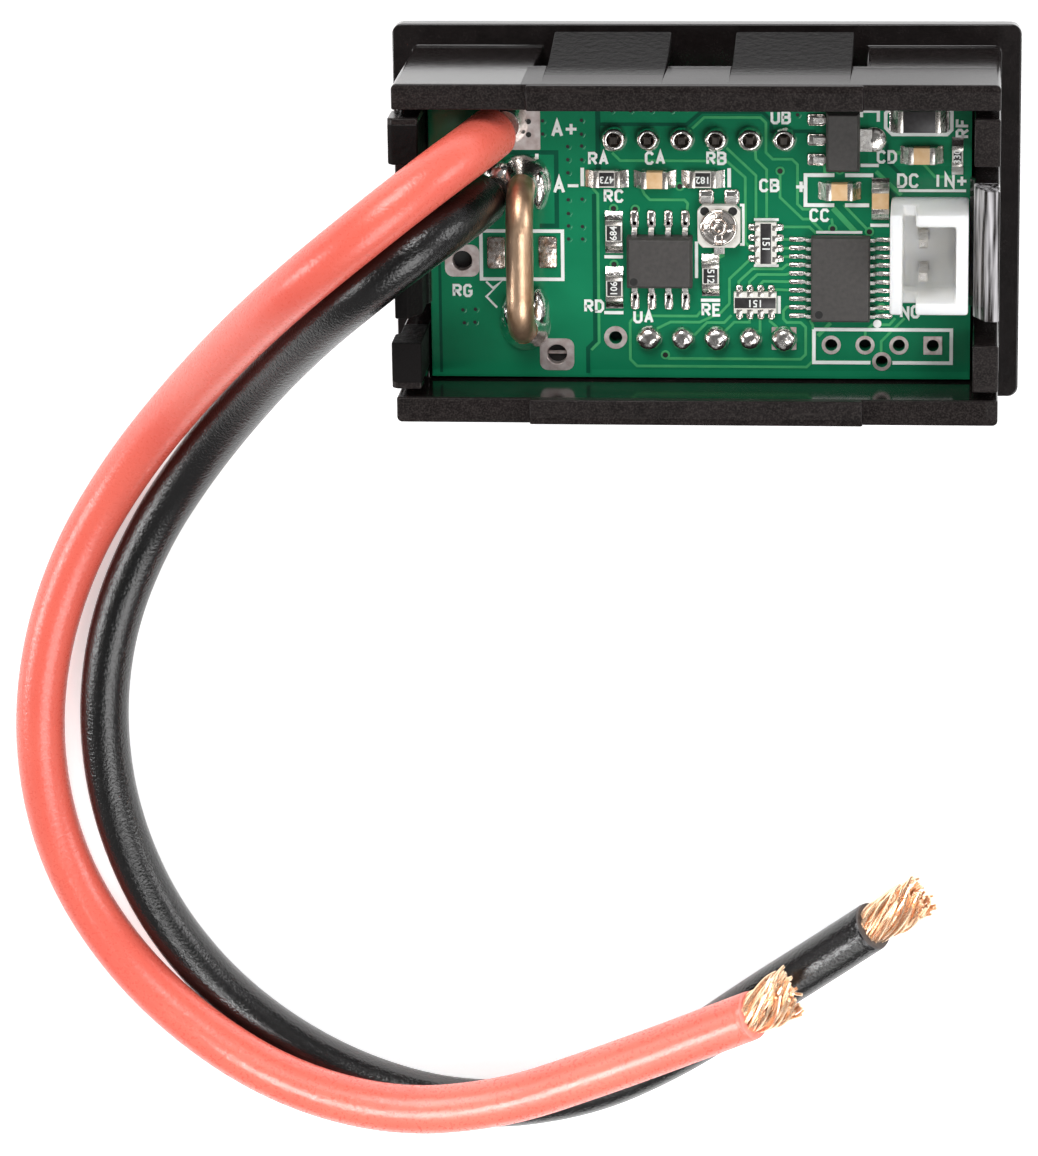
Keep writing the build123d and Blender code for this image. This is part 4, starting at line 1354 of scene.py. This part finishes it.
@dataclass
class Board:
    """The circuit board's copper, lacquer, lands and print."""

    pour_height: float = 0.012
    track_height: float = 0.03
    land_height: float = 0.045
    silk_height: float = 0.05
    layer: float = 0.0004
    side_hole: float = 0.8
    side_floor: float = 0.9
    side_depth: float = 1.4
    sleeve: float = 0.05
    side_pads: tuple[Point2, ...] = ((-17.9, -1.75), (-10.8, -8.95))
    service_hole: float = 0.46
    service_pads: tuple[Point2, ...] = ((9.9, -8.1), (12.44, -8.1), (14.98, -8.1), (13.7, -9.35))
    square_pad: Point2 = (17.52, -8.1)
    empty_pin: Point2 = (-6.35, -7.62)
    empty_hole: float = 0.5
    last_pin: Point2 = (6.35, -7.62)
    lead_land: Point2 = (-13.2, 8.45)
    lead_vias: tuple[Point2, ...] = ((-13.75, 7.9), (-13.75, 8.9), (-12.75, 7.9), (-12.75, 8.9))
    corner_dot: Point2 = (13.35, -6.45)
    slot_bar: Point3 = (1.44, 0.26, 0.2)
    worked_pads: tuple[Point2, ...] = ((-15.3, -1.1), (-11.4, -1.05))
    worked_size: Point3 = (1.35, 2.4, 0.22)
    covered_via: tuple[Point2, ...] = ((0.34, 0.0), (0.28, 0.016), (0.2, 0.02), (0.0, 0.013))
    covered_eye: tuple[Point2, ...] = ((0.15, 0.0), (0.14, 0.024), (0.0, 0.022))
    open_via: tuple[Point2, ...] = ((0.36, 0.0), (0.34, 0.05), (0.22, 0.055), (0.2, 0.03))
    open_eye: tuple[Point2, ...] = ((0.21, 0.0), (0.21, 0.056), (0.0, 0.05))

    def __post_init__(self) -> None:
        """Take the level of the board's rear face from the frame."""
        self.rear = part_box("circuit_board")[1].z / MM

    def build(self) -> None:
        """Make every layer of the board."""
        dress_node("circuit_board", BOARD_GREEN)
        self.layer_piece("board_pours", POUR_GREEN, self.pours)
        self.layer_piece("board_gaps", GAP_GREEN, self.gaps)
        self.layer_piece("board_tracks", TRACK_GREEN, self.tracks)
        self.layer_piece("board_lands", LAND_TIN, self.lands)
        self.layer_piece("worked_lands", FLUXED_TIN, self.worked_lands)
        self.layer_piece("board_print", SILK_WHITE, self.silk)
        self.layer_piece("covered_vias", POUR_GREEN, self.covered_vias)
        self.layer_piece("open_vias", TRACK_GREEN, self.open_vias)
        self.layer_piece("via_holes", RECESS_SHADE, self.via_holes)
        self.layer_piece("hole_sleeves", LAND_TIN, self.hole_sleeves)

    def layer_piece(self, name: str, finish: Finish, draw: Callable[[BMesh], None]) -> None:
        """Make one layer as a piece.

        Args:
            name: Name of the piece.
            finish: Its surface.
            draw: Method that adds the layer's shapes to a mesh.
        """
        bm = bmesh.new()
        draw(bm)
        make_piece(name, bm, [finish])

    def pours(self, bm: BMesh) -> None:
        """Add the copper areas."""
        for outline in POURS:
            plate(bm, outline, self.rear, self.rear + self.pour_height)

    def gaps(self, bm: BMesh) -> None:
        """Add the dark lines that part the copper areas.

        Args:
            bm: Mesh to add to.
        """
        top = self.rear + 1.5 * self.pour_height
        for i, gap in enumerate(GAPS):
            ribbon(bm, gap.points, gap.width, self.rear, top + i * self.layer)

    def tracks(self, bm: BMesh) -> None:
        """Add the tracks.

        Args:
            bm: Mesh to add to.
        """
        top = self.rear + self.track_height
        for i, track in enumerate(TRACKS):
            ribbon(bm, track.points, track.width, self.rear, top + i * self.layer)

    def silk(self, bm: BMesh) -> None:
        """Add the printed lines, the dot and the designators.

        Args:
            bm: Mesh to add to.
        """
        top = self.rear + self.silk_height
        for i, line in enumerate(SILK_LINES):
            ribbon(bm, line.points, line.width, self.rear, top + i * self.layer)
        plate(bm, rounded_outline(self.corner_dot, 0.62, 0.62, 0.3), self.rear, top)
        for label in LABELS:
            label.draw(bm, self.rear, top)

    def lands(self, bm: BMesh) -> None:
        """Add the tinned lands.

        Args:
            bm: Mesh to add to.
        """
        low, top = self.rear, self.rear + self.land_height
        rings = [(pad, rounded_outline(pad, 2.6, 2.45, 0.6), self.side_hole) for pad in self.side_pads]
        for pad in self.service_pads:
            rings.append((pad, rounded_outline(pad, 1.44, 1.44, 0.719, 6), self.service_hole))
        square = rounded_outline(self.square_pad, 1.4, 1.4, 0.05)
        rings.append((self.square_pad, square, self.service_hole))
        ring = rounded_outline(self.empty_pin, 1.75, 1.75, 0.874, 6)
        rings.append((self.empty_pin, ring, self.empty_hole))
        for pad, outline, hole in rings:
            pierced_plate(bm, outline, pad, hole, low, top)
        plate(bm, rounded_outline(self.last_pin, 1.85, 1.75, 0.06), low, top)
        plate(bm, rounded_outline(self.lead_land, 2.65, 3.4, 0.1), low, top)

    def worked_lands(self, bm: BMesh) -> None:
        """Add the lands that hold a skin of used solder and flux.

        Args:
            bm: Mesh to add to.
        """
        for x, y in self.worked_pads:
            block(bm, (x, y, self.rear), self.worked_size, 0.8 * self.worked_size[2])

    def covered_vias(self, bm: BMesh) -> None:
        """Add the small plated holes under the lacquer."""
        for x, y in COVERED_VIAS:
            lathe(bm, self.covered_via, (x, y, self.rear), 12)

    def open_vias(self, bm: BMesh) -> None:
        """Add the rims of the open plated holes."""
        for x, y in OPEN_VIAS:
            lathe(bm, self.open_via, (x, y, self.rear), 14)

    def via_holes(self, bm: BMesh) -> None:
        """Add near-black discs of painted shade in the eyes of the plated holes and at the floors of the
        two large ones.

        Args:
            bm: Mesh to add to.
        """
        for x, y in (*OPEN_VIAS, *self.lead_vias):
            lathe(bm, self.open_eye, (x, y, self.rear), 12)
        for x, y in COVERED_VIAS:
            lathe(bm, self.covered_eye, (x, y, self.rear), 10)
        hole = self.side_hole
        floor = [(hole, -self.side_depth), (hole - 0.04, -self.side_floor), (0.0, -self.side_floor)]
        for x, y in self.side_pads:
            lathe(bm, floor, (x, y, self.rear), 28)

    def hole_sleeves(self, bm: BMesh) -> None:
        """Add the plated sleeves of the two large holes and the bar across the lower one.

        Args:
            bm: Mesh to add to.
        """
        outer, inner, foot = self.side_hole, self.side_hole - self.sleeve, -self.side_depth
        wall = [(outer, foot), (outer, self.sleeve), (inner, 0.0), (inner, foot)]
        for x, y in self.side_pads:
            lathe(bm, wall, (x, y, self.rear), 32)
        x, y = self.side_pads[1]
        block(bm, (x, y, self.rear - self.side_floor), self.slot_bar, 0.05)


class ChipKind(Enum):
    """Kinds of small parts with metal ends."""

    RESISTOR = "resistor"
    CAPACITOR = "capacitor"
    DIODE = "diode"


@dataclass
class Chip:
    """A small part with a metal cap at each end, soldered to two lands."""

    node: str
    kind: ChipKind
    mark: str = ""
    mark_turn: float = 0.0
    cap: float = 0.42
    inset: float = 0.03
    body_round: float = 0.04
    cap_round: float = 0.07
    glaze_gap: float = 0.02
    glaze_margin: float = 0.1
    glaze_rise: float = 0.03
    mark_height: float = 0.52
    mark_weight: float = 0.012
    mark_rise: float = 0.036

    def build(self) -> None:
        """Make the part from the place and size of its solid."""
        low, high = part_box(self.node)
        axis = long_axis(self.node)
        bm = bmesh.new()
        body = inset_block(low, high, axis, 0.0, self.inset, self.inset)
        brick(bm, *body, self.body_round, 0)
        for at_end in (False, True):
            cap_low, cap_high = low.copy(), high.copy()
            if at_end:
                cap_low[axis] = high[axis] - self.cap * MM
            else:
                cap_high[axis] = low[axis] + self.cap * MM
            brick(bm, cap_low, cap_high, self.cap_round, 1)
        if self.kind is ChipKind.RESISTOR:
            self.add_glaze(bm, *body, axis)
        finishes = [self.skin(), PLATED, RESISTOR_GLAZE, SILK_WHITE]
        make_piece(f"{self.node}_dressed", bm, finishes, (self.node,))

    def skin(self) -> Finish:
        """Give the surface between the metal ends.

        Returns:
            The finish of the part's kind.
        """
        skins = {
            ChipKind.RESISTOR: CERAMIC_WHITE,
            ChipKind.CAPACITOR: CAPACITOR_TAN,
            ChipKind.DIODE: RESISTOR_GLAZE,
        }
        return skins[self.kind]

    def add_glaze(self, bm: BMesh, low: Vector, high: Vector, axis: int) -> None:
        """Add the dark coat with its number.

        Args:
            bm: Mesh to add to.
            low: Lowest corner of the ceramic.
            high: Highest corner of the ceramic.
            axis: Number of the axis that the part lies along.
        """
        ends = self.cap + self.glaze_gap
        glaze_low, glaze_high = inset_block(low, high, axis, ends, self.glaze_margin, -self.glaze_rise)
        glaze_low.z = high.z - self.glaze_gap * MM
        brick(bm, glaze_low, glaze_high, self.glaze_gap, 2)
        middle = (low + high) / 2 / MM
        place = (middle.x, middle.y, high.z / MM + self.mark_rise)
        words(bm, self.mark, place, self.mark_height, self.mark_turn, self.mark_weight, 3)


CHIPS: list[Chip] = [
    Chip("divider_resistor_a", ChipKind.RESISTOR, "473", 180.0),
    Chip("divider_resistor_b", ChipKind.RESISTOR, "182", 180.0),
    Chip("gain_resistor_a", ChipKind.RESISTOR, "684", 90.0),
    Chip("gain_resistor_b", ChipKind.RESISTOR, "106", 90.0),
    Chip("feedback_resistor", ChipKind.RESISTOR, "512", -90.0),
    Chip("series_resistor", ChipKind.RESISTOR, "330", 90.0),
    Chip("supply_diode", ChipKind.DIODE),
    Chip("filter_capacitor", ChipKind.CAPACITOR),
    Chip("supply_capacitor", ChipKind.CAPACITOR),
    Chip("output_capacitor", ChipKind.CAPACITOR),
    Chip("input_capacitor", ChipKind.CAPACITOR),
]


@dataclass
class Solder:
    """The solder at chips, display pins, the shunt and the leads."""

    noise_seed: int = 1
    joint_bevel: float = 0.1
    fillet_reach: float = 0.62
    fillet_climb: float = 0.8
    fillet_toe: float = 0.04
    fillet_steps: int = 5
    pin_pitch: float = 2.54
    pin_columns: int = 6
    pin_row: float = 7.62
    dome_radius: float = 0.95
    dome_height: float = 0.82
    dome_profile: tuple[Point2, ...] = (
        (1.0, 0.0), (0.99, 0.25), (0.94, 0.5), (0.86, 0.76), (0.75, 0.93), (0.64, 0.97), (0.54, 0.88),
        (0.46, 0.66), (0.38, 0.48), (0.0, 0.42),
    )
    full_profile: tuple[Point2, ...] = (
        (1.0, 0.0), (0.99, 0.25), (0.93, 0.54), (0.8, 0.82), (0.62, 0.98), (0.4, 1.07), (0.2, 1.1),
        (0.0, 1.1),
    )
    lobe_profile: tuple[Point2, ...] = (
        (1.0, 0.0), (0.99, 0.25), (0.93, 0.6), (0.8, 0.95), (0.6, 1.22), (0.35, 1.38), (0.0, 1.44),
    )
    mounds: Point2 = (2.15, 1.95)
    lobes: tuple[tuple[float, float, float, float], ...] = (
        (1.2, 3.9, 0.75, 1.75), (-1.9, 4.9, 1.2, 1.15), (1.05, -5.4, 0.8, 1.7), (-1.0, -5.6, 0.75, 1.5),
    )

    def __post_init__(self) -> None:
        """Take the level of the board's rear face from the frame."""
        self.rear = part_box("circuit_board")[1].z / MM

    def build(self) -> None:
        """Make the joints, with the same unevenness in every run."""
        noise.seed_set(self.noise_seed)
        self.chip_fillets()
        self.display_domes()
        self.shunt_collars()
        for node in ("red_joint", "black_joint"):
            softened_copy(node, self.joint_bevel, SOLDER)

    def chip_fillets(self) -> None:
        """Add a hollow fillet and a land at both ends of every chip."""
        bm = bmesh.new()
        for chip in CHIPS:
            low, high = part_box(chip.node)
            axis = long_axis(chip.node)
            self.fillet(bm, low, high, axis, low[axis], -1)
            self.fillet(bm, low, high, axis, high[axis], 1)
        make_piece("chip_fillets", bm, [SOLDER], ("chip_solder",), crease=60.0)

    def fillet(self, bm: BMesh, low: Vector, high: Vector, axis: int, end: float, sign: int) -> None:
        """Add one hollow fillet.

        Args:
            bm: Mesh to add to.
            low: Lowest corner of the chip.
            high: Highest corner of the chip.
            axis: Number of the axis that the chip lies along.
            end: Place of the chip's end along that axis.
            sign: Direction in which the fillet leaves the chip.
        """
        height = (high.z - low.z) * self.fillet_climb
        toe = self.fillet_toe * MM
        profile = [(0.0, 0.0)]
        for i in range(self.fillet_steps + 1):
            share = i / self.fillet_steps
            profile.append((self.fillet_reach * MM * (1.0 - share), height * share**1.4 + toe))
        verts = []
        for out, up in profile:
            place = low.copy()
            place[axis] = end + sign * out
            place.z = low.z + up
            verts.append(bm.verts.new(place))
        verts.insert(1, bm.verts.new(verts[1].co - Vector((0.0, 0.0, toe))))
        face = bm.faces.new(verts)
        made = bmesh.ops.extrude_face_region(bm, geom=[face], use_keep_orig=True)
        moved = [g for g in made["geom"] if isinstance(g, BMVert)]
        across = Vector((0.0, 0.0, 0.0))
        across[1 - axis] = high[1 - axis] - low[1 - axis]
        bmesh.ops.translate(bm, verts=moved, vec=across)
        around = dict.fromkeys([*(f for v in moved for f in v.link_faces), face])
        bmesh.ops.recalc_face_normals(bm, faces=list(around))

    def display_domes(self) -> None:
        """Add the domes round the display's pins."""
        bm = bmesh.new()
        for column in range(self.pin_columns):
            for row in (1, -1):
                if row < 0 and column == 0:
                    continue
                swell = self.dome_radius * (1.0 + 0.05 * math.sin(3.0 * column + row))
                shape = self.dome_profile if row > 0 else self.full_profile
                profile = [(swell * r, self.dome_height * z) for r, z in shape]
                x = (column - (self.pin_columns - 1) / 2) * self.pin_pitch
                place = (x, row * self.pin_row, self.rear)
                verts = lathe(bm, profile, place, 28)
                self.roughen(verts, 0.06, 0.6)
        make_piece("display_domes", bm, [SOLDER], ("display_solder",), crease=70.0)
        # The pins carry the near-black painted shade that darkens the middle of every dome.
        dress_node("display_pins", SHADED_PIN_END)

    def roughen(self, verts: list[BMVert], depth: float, size: float) -> None:
        """Make a smooth shape a little uneven, leaving its foot on the board.

        Args:
            verts: Vertices to move.
            depth: Largest move in millimetres.
            size: Size of the unevenness in millimetres.
        """
        for vert in verts:
            lift = min(1.0, (vert.co.z / MM - self.rear) / 0.2)
            vert.co += noise.noise_vector(vert.co / (size * MM)) * depth * MM * lift

    def shunt_collars(self) -> None:
        """Add the mounds round the legs of the shunt."""
        low, high = in_mm(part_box("shunt_wire"))
        middle = (low.x + high.x) / 2
        leg = (high.x - low.x) / 2
        bm = bmesh.new()
        for y, spread in ((high.y - leg, self.mounds[0]), (low.y + leg, self.mounds[1])):
            profile = [
                (spread, 0.0), (spread * 0.97, 0.3), (spread * 0.86, 0.7), (spread * 0.7, 1.1), (1.2, 1.55),
                (1.04, 1.85), (1.0, 1.8), (1.0, 0.0),
            ]
            verts = lathe(bm, profile, (middle, y, self.rear), 36)
            self.roughen(verts, 0.16, 1.5)
        for dx, y, width, height in self.lobes:
            verts = lathe(bm, self.lobe_profile, (0.0, 0.0, 0.0), 32)
            place = Matrix.Translation(Vector((middle + dx, y, self.rear)) * MM)
            stretch = Matrix.Diagonal((width, height, 1.0, 1.0))
            bmesh.ops.transform(bm, matrix=place @ stretch, verts=verts)
            self.roughen(verts, 0.12, 0.9)
        make_piece("shunt_mounds", bm, [SOLDER], ("shunt_solder",), crease=70.0)
        dress_node("shunt_wire", SHUNT_COPPER)


@dataclass
class Packages:
    """The amplifier, the controller, the regulator and the resistor arrays."""

    bevel: float = 0.07
    lead_bevel: float = 0.03
    cushion: float = 0.2
    amplifier_pitch: float = 1.27
    amplifier_pad: Point2 = (0.62, 1.3)
    amplifier_toe: float = 0.15
    controller_pitch: float = 0.65
    controller_pad: Point2 = (1.15, 0.33)
    controller_toe: float = 0.1
    regulator_pitch: float = 1.5
    regulator_pad: Point2 = (1.3, 0.85)
    regulator_heel: float = 0.2
    tab_toe: float = 0.1
    tab_solder: tuple[Point2, ...] = (
        (1.0, 0.0), (0.97, 0.1), (0.8, 0.26), (0.5, 0.36), (0.2, 0.4), (0.0, 0.4),
    )
    arrays: tuple[tuple[str, str, float], ...] = (
        ("digit_resistor_array", "151", -90.0), ("segment_resistor_array", "151", 180.0),
    )
    array_pitch: float = 0.8
    array_pad: Point2 = (0.8, 0.5)
    array_cap: float = 0.45
    array_inset: float = 0.12
    array_glaze: Point2 = (0.06, 0.4)
    array_rise: float = 0.03
    trimmer_pads: tuple[Point2, ...] = ((0.55, 3.25), (2.45, 3.25))
    trimmer_pad: Point2 = (1.1, 1.1)
    marked: tuple[tuple[str, float], ...] = (("amplifier_body", 0.55), ("controller_body", 0.6))
    dot: tuple[Point2, ...] = ((0.3, 0.001), (0.26, 0.012), (0.2, 0.004), (0.0, 0.003))

    def __post_init__(self) -> None:
        """Take the level of the board's rear face from the frame."""
        self.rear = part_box("circuit_board")[1].z / MM

    def build(self) -> None:
        """Make the moulded bodies, their leads and lands."""
        for name in ("amplifier", "controller", "regulator"):
            softened_copy(f"{name}_body", self.bevel, PACKAGE_GREY)
        for name in ("amplifier", "controller", "regulator"):
            softened_copy(f"{name}_leads", self.lead_bevel, TINNED)
        self.lands()
        self.dots()
        for node, mark, turn in self.arrays:
            self.array(node, mark, turn)

    def dots(self) -> None:
        """Sink a small round mark into the corner of the amplifier and of the controller."""
        bm = bmesh.new()
        for node, inset in self.marked:
            low, high = in_mm(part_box(node))
            lathe(bm, self.dot, (low.x + inset, low.y + inset, high.z), 20)
        # The dimple marks are coloured with the painted shade of a recess.
        make_piece("package_dots", bm, [RECESS_SHADE])

    def lands(self) -> None:
        """Add a tinned land with a little solder under every lead."""
        bm = bmesh.new()
        low, high = in_mm(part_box("amplifier_leads"))
        for i in range(4):
            x = (low.x + high.x) / 2 + (i - 1.5) * self.amplifier_pitch
            for y in (low.y - self.amplifier_toe, high.y + self.amplifier_toe):
                self.pad(bm, (x, y), self.amplifier_pad)
        low, high = in_mm(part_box("controller_leads"))
        for i in range(10):
            y = (low.y + high.y) / 2 + (i - 4.5) * self.controller_pitch
            for x in (low.x - self.controller_toe, high.x + self.controller_toe):
                self.pad(bm, (x, y), self.controller_pad)
        low, high = in_mm(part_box("regulator_leads"))
        middle = (low.y + high.y) / 2
        for i in (-1, 0, 1):
            place = (low.x + self.regulator_heel, middle + i * self.regulator_pitch)
            self.pad(bm, place, self.regulator_pad)
        lathe(bm, self.tab_solder, (high.x + self.tab_toe, middle, self.rear), 28)
        for node, _, _ in self.arrays:
            self.array_lands(bm, node)
        for place in self.trimmer_pads:
            self.pad(bm, place, self.trimmer_pad)
        make_piece("lead_lands", bm, [SOLDER], crease=50.0)

    def array_lands(self, bm: BMesh, node: str) -> None:
        """Add the eight lands of a resistor array.

        Args:
            bm: Mesh to add to.
            node: Name of its solid.
        """
        low, high = in_mm(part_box(node))
        axis = long_axis(node)
        size = self.array_pad if axis else self.array_pad[::-1]
        for i in range(4):
            for edge in (low, high):
                place = [0.0, 0.0]
                place[axis] = (low[axis] + high[axis]) / 2 + (i - 1.5) * self.array_pitch
                place[1 - axis] = edge[1 - axis]
                self.pad(bm, (place[0], place[1]), size)

    def pad(self, bm: BMesh, centre: Point2, size: Point2) -> None:
        """Add one land with a low cushion of solder."""
        rounding = 0.45 * min(*size, 2.0 * self.cushion)
        block(bm, (*centre, self.rear), (*size, self.cushion), rounding)

    def array(self, node: str, mark: str, turn: float) -> None:
        """Make one resistor array.

        Args:
            node: Name of its solid.
            mark: Number on its coat.
            turn: Turn of the number in degrees.
        """
        low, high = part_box(node)
        axis = long_axis(node)
        middle = (low + high) / 2
        bm = bmesh.new()
        body = inset_block(low, high, axis, 0.0, self.array_inset, self.array_rise)
        brick(bm, *body, 0.03, 0)
        for i in range(4):
            for at_end in (False, True):
                cap_low, cap_high = low.copy(), high.copy()
                cap_low[axis] = middle[axis] + ((i - 1.5) * self.array_pitch - self.array_cap / 2) * MM
                cap_high[axis] = cap_low[axis] + self.array_cap * MM
                if at_end:
                    cap_low[1 - axis] = high[1 - axis] - self.array_cap * MM
                else:
                    cap_high[1 - axis] = low[1 - axis] + self.array_cap * MM
                brick(bm, cap_low, cap_high, 0.06, 1)
        glaze_low, glaze_high = inset_block(*body, axis, *self.array_glaze, -self.array_rise)
        glaze_low.z = high.z - 0.04 * MM
        brick(bm, glaze_low, glaze_high, 0.015, 2)
        place = (middle.x / MM, middle.y / MM, high.z / MM + 0.006)
        words(bm, mark, place, 0.55, turn, 0.012, 3)
        finishes = [CERAMIC_WHITE, PLATED, RESISTOR_GLAZE, SILK_WHITE]
        make_piece(f"{node}_dressed", bm, finishes, (node,))


@dataclass
class Trimmer:
    """The calibration trimmer with its turning rotor."""

    base_bevel: float = 0.06
    terminal_bevel: float = 0.04
    slot_width: float = 0.5
    slot_depth: float = 0.11
    slot_reach: Point2 = (0.39, 0.86)
    slot_floor: float = 0.12
    dish: tuple[Point2, ...] = (
        (0.31, 0.0), (1.0, 0.0), (1.0, 0.3), (0.97, 0.37), (0.91, 0.4), (0.84, 0.37), (0.78, 0.31),
        (0.7, 0.27), (0.62, 0.25), (0.54, 0.25), (0.46, 0.24), (0.4, 0.21), (0.34, 0.15), (0.31, 0.0),
    )
    rolled_rim: tuple[Point2, ...] = (
        (0.4, -0.4), (0.4, 0.0), (0.54, 0.0), (0.58, 0.08), (0.5, 0.19), (0.4, 0.22), (0.3, 0.19),
        (0.24, 0.08), (0.22, -0.3), (0.0, -0.32),
    )
    rim_drop: float = 0.23
    notch: tuple[Point2, ...] = ((0.34, 0.002), (0.3, 0.03), (0.24, 0.006), (0.0, 0.004))
    notch_inset: Point2 = (0.55, 0.42)

    def build(self) -> None:
        """Make the base, the terminals, the rotor, the eyelet and the notches."""
        softened_copy("trimmer_base", self.base_bevel, CERAMIC_WHITE)
        softened_copy("trimmer_terminals", self.terminal_bevel, TINNED)
        self.rotor()
        self.eyelet()
        self.notches()

    def rotor(self) -> None:
        """Stand a stamped dish with a pressed cross in for the turning solid."""
        low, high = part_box("trimmer_rotor")
        middle = (low + high) / 2
        radius = (high.x - low.x) / 2 / MM
        near, far = self.slot_reach
        floor = low.z + self.slot_floor * MM
        bm = bmesh.new()
        profile = [(radius * r, z) for r, z in self.dish]
        for vert in lathe(bm, profile, (middle.x / MM, middle.y / MM, low.z / MM), 96):
            x, y = abs(vert.co.x - middle.x) / MM, abs(vert.co.y - middle.y) / MM
            reach = math.hypot(x, y) / radius
            if min(x, y) < self.slot_width / 2 and near < reach < far and vert.co.z > floor:
                vert.co.z -= self.slot_depth * MM
        make_piece(
            "trimmer_rotor_dish", bm, [ROTOR_METAL], ("trimmer_rotor",), ROTOR, 50.0
        )

    def eyelet(self) -> None:
        """Stand a rolled eyelet in for the rivet."""
        low, high = in_mm(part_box("trimmer_rivet"))
        centre = ((low.x + high.x) / 2, (low.y + high.y) / 2, high.z - self.rim_drop)
        bm = bmesh.new()
        lathe(bm, self.rolled_rim, centre, 28)
        make_piece("trimmer_eyelet", bm, [ROTOR_METAL], ("trimmer_rivet",))

    def notches(self) -> None:
        """Sink the two round marks into the base."""
        low, high = in_mm(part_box("trimmer_base"))
        aside, below = self.notch_inset
        bm = bmesh.new()
        for x in (low.x + aside, high.x - aside):
            lathe(bm, self.notch, (x, high.y - below, high.z), 20)
        # The notch marks are coloured with the painted shade of a recess.
        make_piece("trimmer_notches", bm, [RECESS_SHADE])


@dataclass
class Header:
    """The white supply header with its two posts."""

    bevel: float = 0.2

    def build(self) -> None:
        """Make the shell and the posts."""
        softened_copy("header_shell", self.bevel, NYLON)
        dress_node("header_pins", TINNED)


@dataclass
class Display:
    """The display behind the board: case, digits and the tinted window."""

    bevel: float = 0.08

    def build(self) -> None:
        """Give the display's pieces their surfaces."""
        softened_copy("display_case", self.bevel, DISPLAY_GREY)
        for node in ("left_digit", "middle_digit", "right_digit"):
            dress_node(node, SEGMENT_MILK)
        softened_copy("window_filter", 0.08, FILTER_RED)


def main() -> None:
    """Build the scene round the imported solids."""
    logging.basicConfig(level=logging.INFO, format="%(message)s")
    PhotoCamera().build()
    Lead("red", RED_ROUTE, RED_INSULATION, 150.6, 11, (-0.4, 0.7, 0.4), RED_CUT).build()
    Lead(
        "black", BLACK_ROUTE, BLACK_INSULATION, 149.1, 23, (0.2, 0.3, 0.6), BLACK_CUT, strand_length=6.2,
        opening=0.4,
    ).build()
    Studio().build()
    for assembly in (Housing(), Board(), Solder(), Packages(), Trimmer(), Header(), Display()):
        assembly.build()
    for chip in CHIPS:
        chip.build()


if __name__ == "__main__":
    main()
